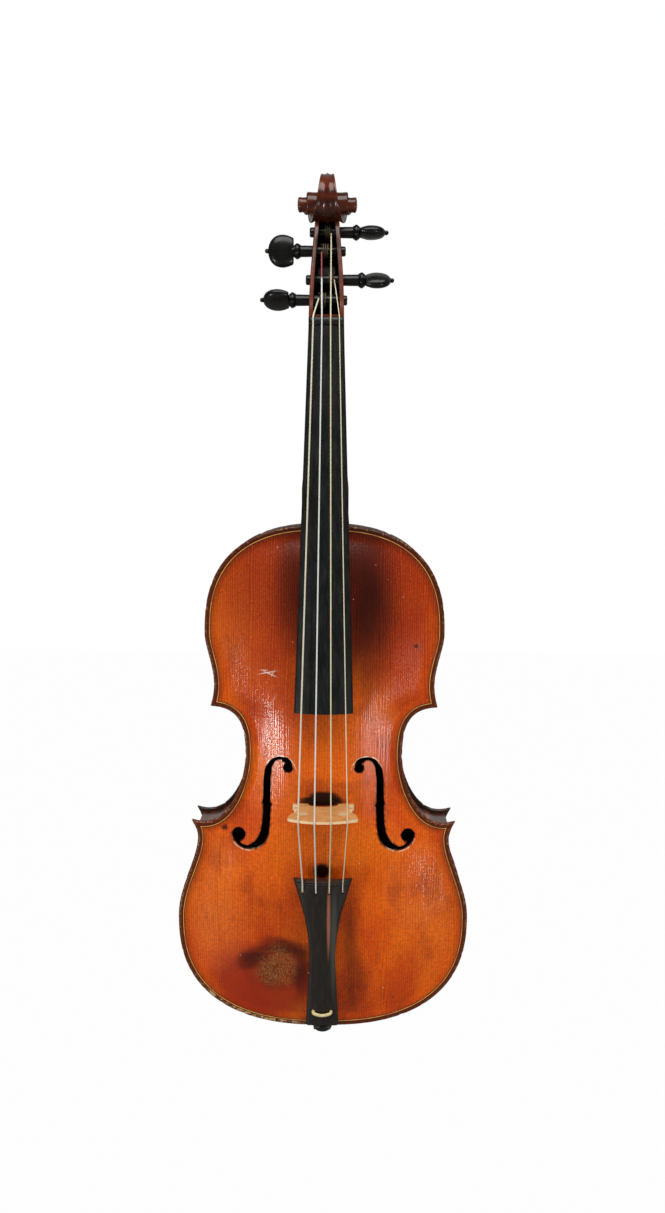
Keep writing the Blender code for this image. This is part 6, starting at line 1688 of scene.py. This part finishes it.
def pip_grid(name):
    """A small ball let into the tip of the head."""
    middle = PEG_COLLAR[name] + COLLAR_LENGTH + HEAD_LENGTH + PIP_RADIUS / 3
    v = np.linspace(0, np.pi, 13)
    return turned_grid(np.c_[PIP_RADIUS * np.sin(v), middle - PIP_RADIUS * np.cos(v)], 24)


for name in STRING_NAMES:
    points, faces = [], []
    for grid in (turned_grid(peg_profile(name)), head_grid(name), pip_grid(name)):
        take(points, faces, peg_world(grid, name), wrap=True)
    peg_mesh = make_mesh("peg_" + name, points, faces, sharp=45)
    new_piece(f"peg_{name}_turned", peg_mesh, peg_ebony, f"peg_{name}", f"{name}_peg")

# %% Windings and strings
for name in STRING_NAMES:
    wind, pitch, last, s, h = winding_facts(name)
    turn = np.linspace(0, WINDING_TURNS, WINDING_TURNS * 32 + 1)
    x_turn = last - PEG_SIDES[name] * pitch * (WINDING_TURNS - turn)
    helix = place(x_turn, s + wind * np.cos(2 * np.pi * turn), h + wind * np.sin(2 * np.pi * turn))
    winding = cord_mesh("winding", helix, STRING_RADII[name], np.array([1.0, 0, 0]), 12)
    new_piece(f"winding_{name}_turns", winding, peg_gut, f"winding_{name}", f"{name}_peg")
    string = cord_mesh("string", eased(string_route(name)), STRING_RADII[name], np.array([1.0, 0, 0]))
    new_piece(f"string_{name}_gut", string, STRING_FINISH[name], f"string_{name}")

# %% [markdown]
# ## The tail gut, saddle and end button
# A loop of gut goes round the button, over the ebony saddle and through the tailpiece. Its closed path is near the
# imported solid's, but lies closer on the saddle, whose front slopes as in the photograph. Its reference direction
# points away from the middle of the loop.

# %% Tail gut
SADDLE = (0.0105, 0.0075, 0.0050)
BUTTON_REACH = 0.0120
TAILGUT_GAP = 0.0005
BUTTON_NECK = 0.0034
gut_low = -BUTTON_REACH + 0.0094
clear = GUT_RADIUS + TAILGUT_GAP
gut_turn = BUTTON_NECK + clear
axis = -RIB_HEIGHT / 2
saddle_top = EDGE_THICKNESS + SADDLE[2] + clear
hole_x, hole_s = GUT_HOLE
under_tail = tail_top(hole_s) - TAIL_THICKNESS - 2 * clear
over_tail = tail_top(hole_s) + clear
# from the button up over the saddle, then through the tailpiece's hole
strand = [(gut_turn, s, h) for s, h in (
    (gut_low, axis), (gut_low + 0.0002, axis * 0.5), (gut_low + 0.0006, 0.0), (gut_low + 0.0009, saddle_top * 0.36),
    (-clear + 0.0008, saddle_top * 0.58), (0.0008, saddle_top * 0.80), (0.0024, saddle_top),
    (0.0042, saddle_top * 1.04), (0.0075, saddle_top * 1.04))]
strand += [(hole_x, hole_s - 0.0018, (under_tail + saddle_top) / 2)]
strand += [(hole_x, hole_s, h) for h in (under_tail + clear, (under_tail + over_tail) / 2, over_tail - 0.2 * clear)]
strand += [(hole_x - 0.0008, hole_s - 0.0008, over_tail + 0.1 * clear)]
crossing_over = [(x, hole_s - 0.0020 * math.cos(x / hole_x * math.pi / 2) ** 0.8, over_tail + 0.1 * clear)
                 for x in np.array([0.65, 0.33, 0, -0.33, -0.65]) * hole_x]
mirrored = [(-x, s, h) for x, s, h in strand[::-1]]
round_button = [(gut_turn * math.cos(u), gut_low, axis - gut_turn * math.sin(u))
                for u in np.linspace(np.pi, 0, 15)[1:-1]]
loop = np.array([place(*point) for point in strand + crossing_over + mirrored + round_button])
for _ in range(3):
    ahead = np.roll(loop, -1, axis=0)
    loop = np.stack([loop * 0.75 + ahead * 0.25, loop * 0.25 + ahead * 0.75], axis=1).reshape(-1, 3)
middle_of_loop = place(0, 0.006, 0.004)
rings = tube_rings(loop, GUT_RADIUS, loop - middle_of_loop, 16, closed=True)
rings = np.concatenate([rings, rings[:1]])
along = np.r_[0, np.cumsum(np.linalg.norm(np.diff(loop, axis=0, append=loop[:1]), axis=1))]
along, u = np.broadcast_arrays(along[:, None], once_round(16)[None])
gut_mesh = make_mesh("tailgut", rings, grid_quads(len(rings), 16, wrap=True), along=along, round_cos=np.cos(u),
                     round_sin=np.sin(u))
new_piece("tailgut_loop", gut_mesh, tail_gut_finish, "tailgut")

# %% Saddle and end button
rear, top_h = SADDLE[1], EDGE_THICKNESS + SADDLE[2]
profile = smooth_rows([(0.0, GLUE), (0.0, top_h * 0.36), (0.0004, top_h * 0.50), (0.0016, top_h * 0.76),
                       (0.0032, top_h), (rear - 0.0028, top_h - 0.0003), (rear, EDGE_THICKNESS + 0.0002),
                       (rear, GLUE)], 40)
saddle_x = np.array([-1, -0.99, -0.96, -0.9, 0.9, 0.96, 0.99, 1.0]) * SADDLE[0]
shrink = np.array([0.93, 0.965, 0.99, 1, 1, 0.99, 0.965, 0.93])
saddle_sections = [place(x, profile[:, 0], GLUE + (profile[:, 1] - GLUE) * k) for x, k in zip(saddle_x, shrink)]
new_piece("saddle_rounded", lofted("saddle", saddle_sections), ebony, "saddle")

button_profile = [(0, 0), (0.0022, 0.0), (0.0040, 0.00015), (0.0049, 0.0006), (0.0060, 0.0015), (0.0066, 0.0024),
                  (0.0069, 0.0036), (0.0070, 0.0044), (0.0068, 0.0053), (0.0064, 0.0060), (0.0052, 0.0067),
                  (0.0038, 0.0070), (0.0034, 0.0074), (0.0033, 0.0094), (0.0034, 0.0115), (0.0050, 0.0119),
                  (0.0064, 0.0122), (0.00665, 0.0126), (0.00665, 0.0142), (0.0040, 0.0142), (0.0040, 0.0270),
                  (0, 0.0280)]
grid = turned_grid(button_profile, 56)
button_points = place(grid[..., 0], grid[..., 2] - BUTTON_REACH, -RIB_HEIGHT / 2 + grid[..., 1])
button_mesh = make_mesh("end_button", button_points, grid_quads(*button_points.shape[:2], wrap=True))
new_piece("end_button_turned", button_mesh, ebony, "end_button")

# %% [markdown]
# ## Inside the body
# Blocks, linings, the bass bar and the sound post are bare spruce. They keep their imported solids, because only
# glimpses of them show through the sound holes.

# %% Bare spruce inside
# painted shade: these inner parts take the spruce finish that is drawn darker than it is
for name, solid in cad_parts.items():
    if "lining" in name or "block" in name or name in ("bass_bar", "sound_post"):
        solid.data.materials.clear()
        solid.data.materials.append(bare_spruce)
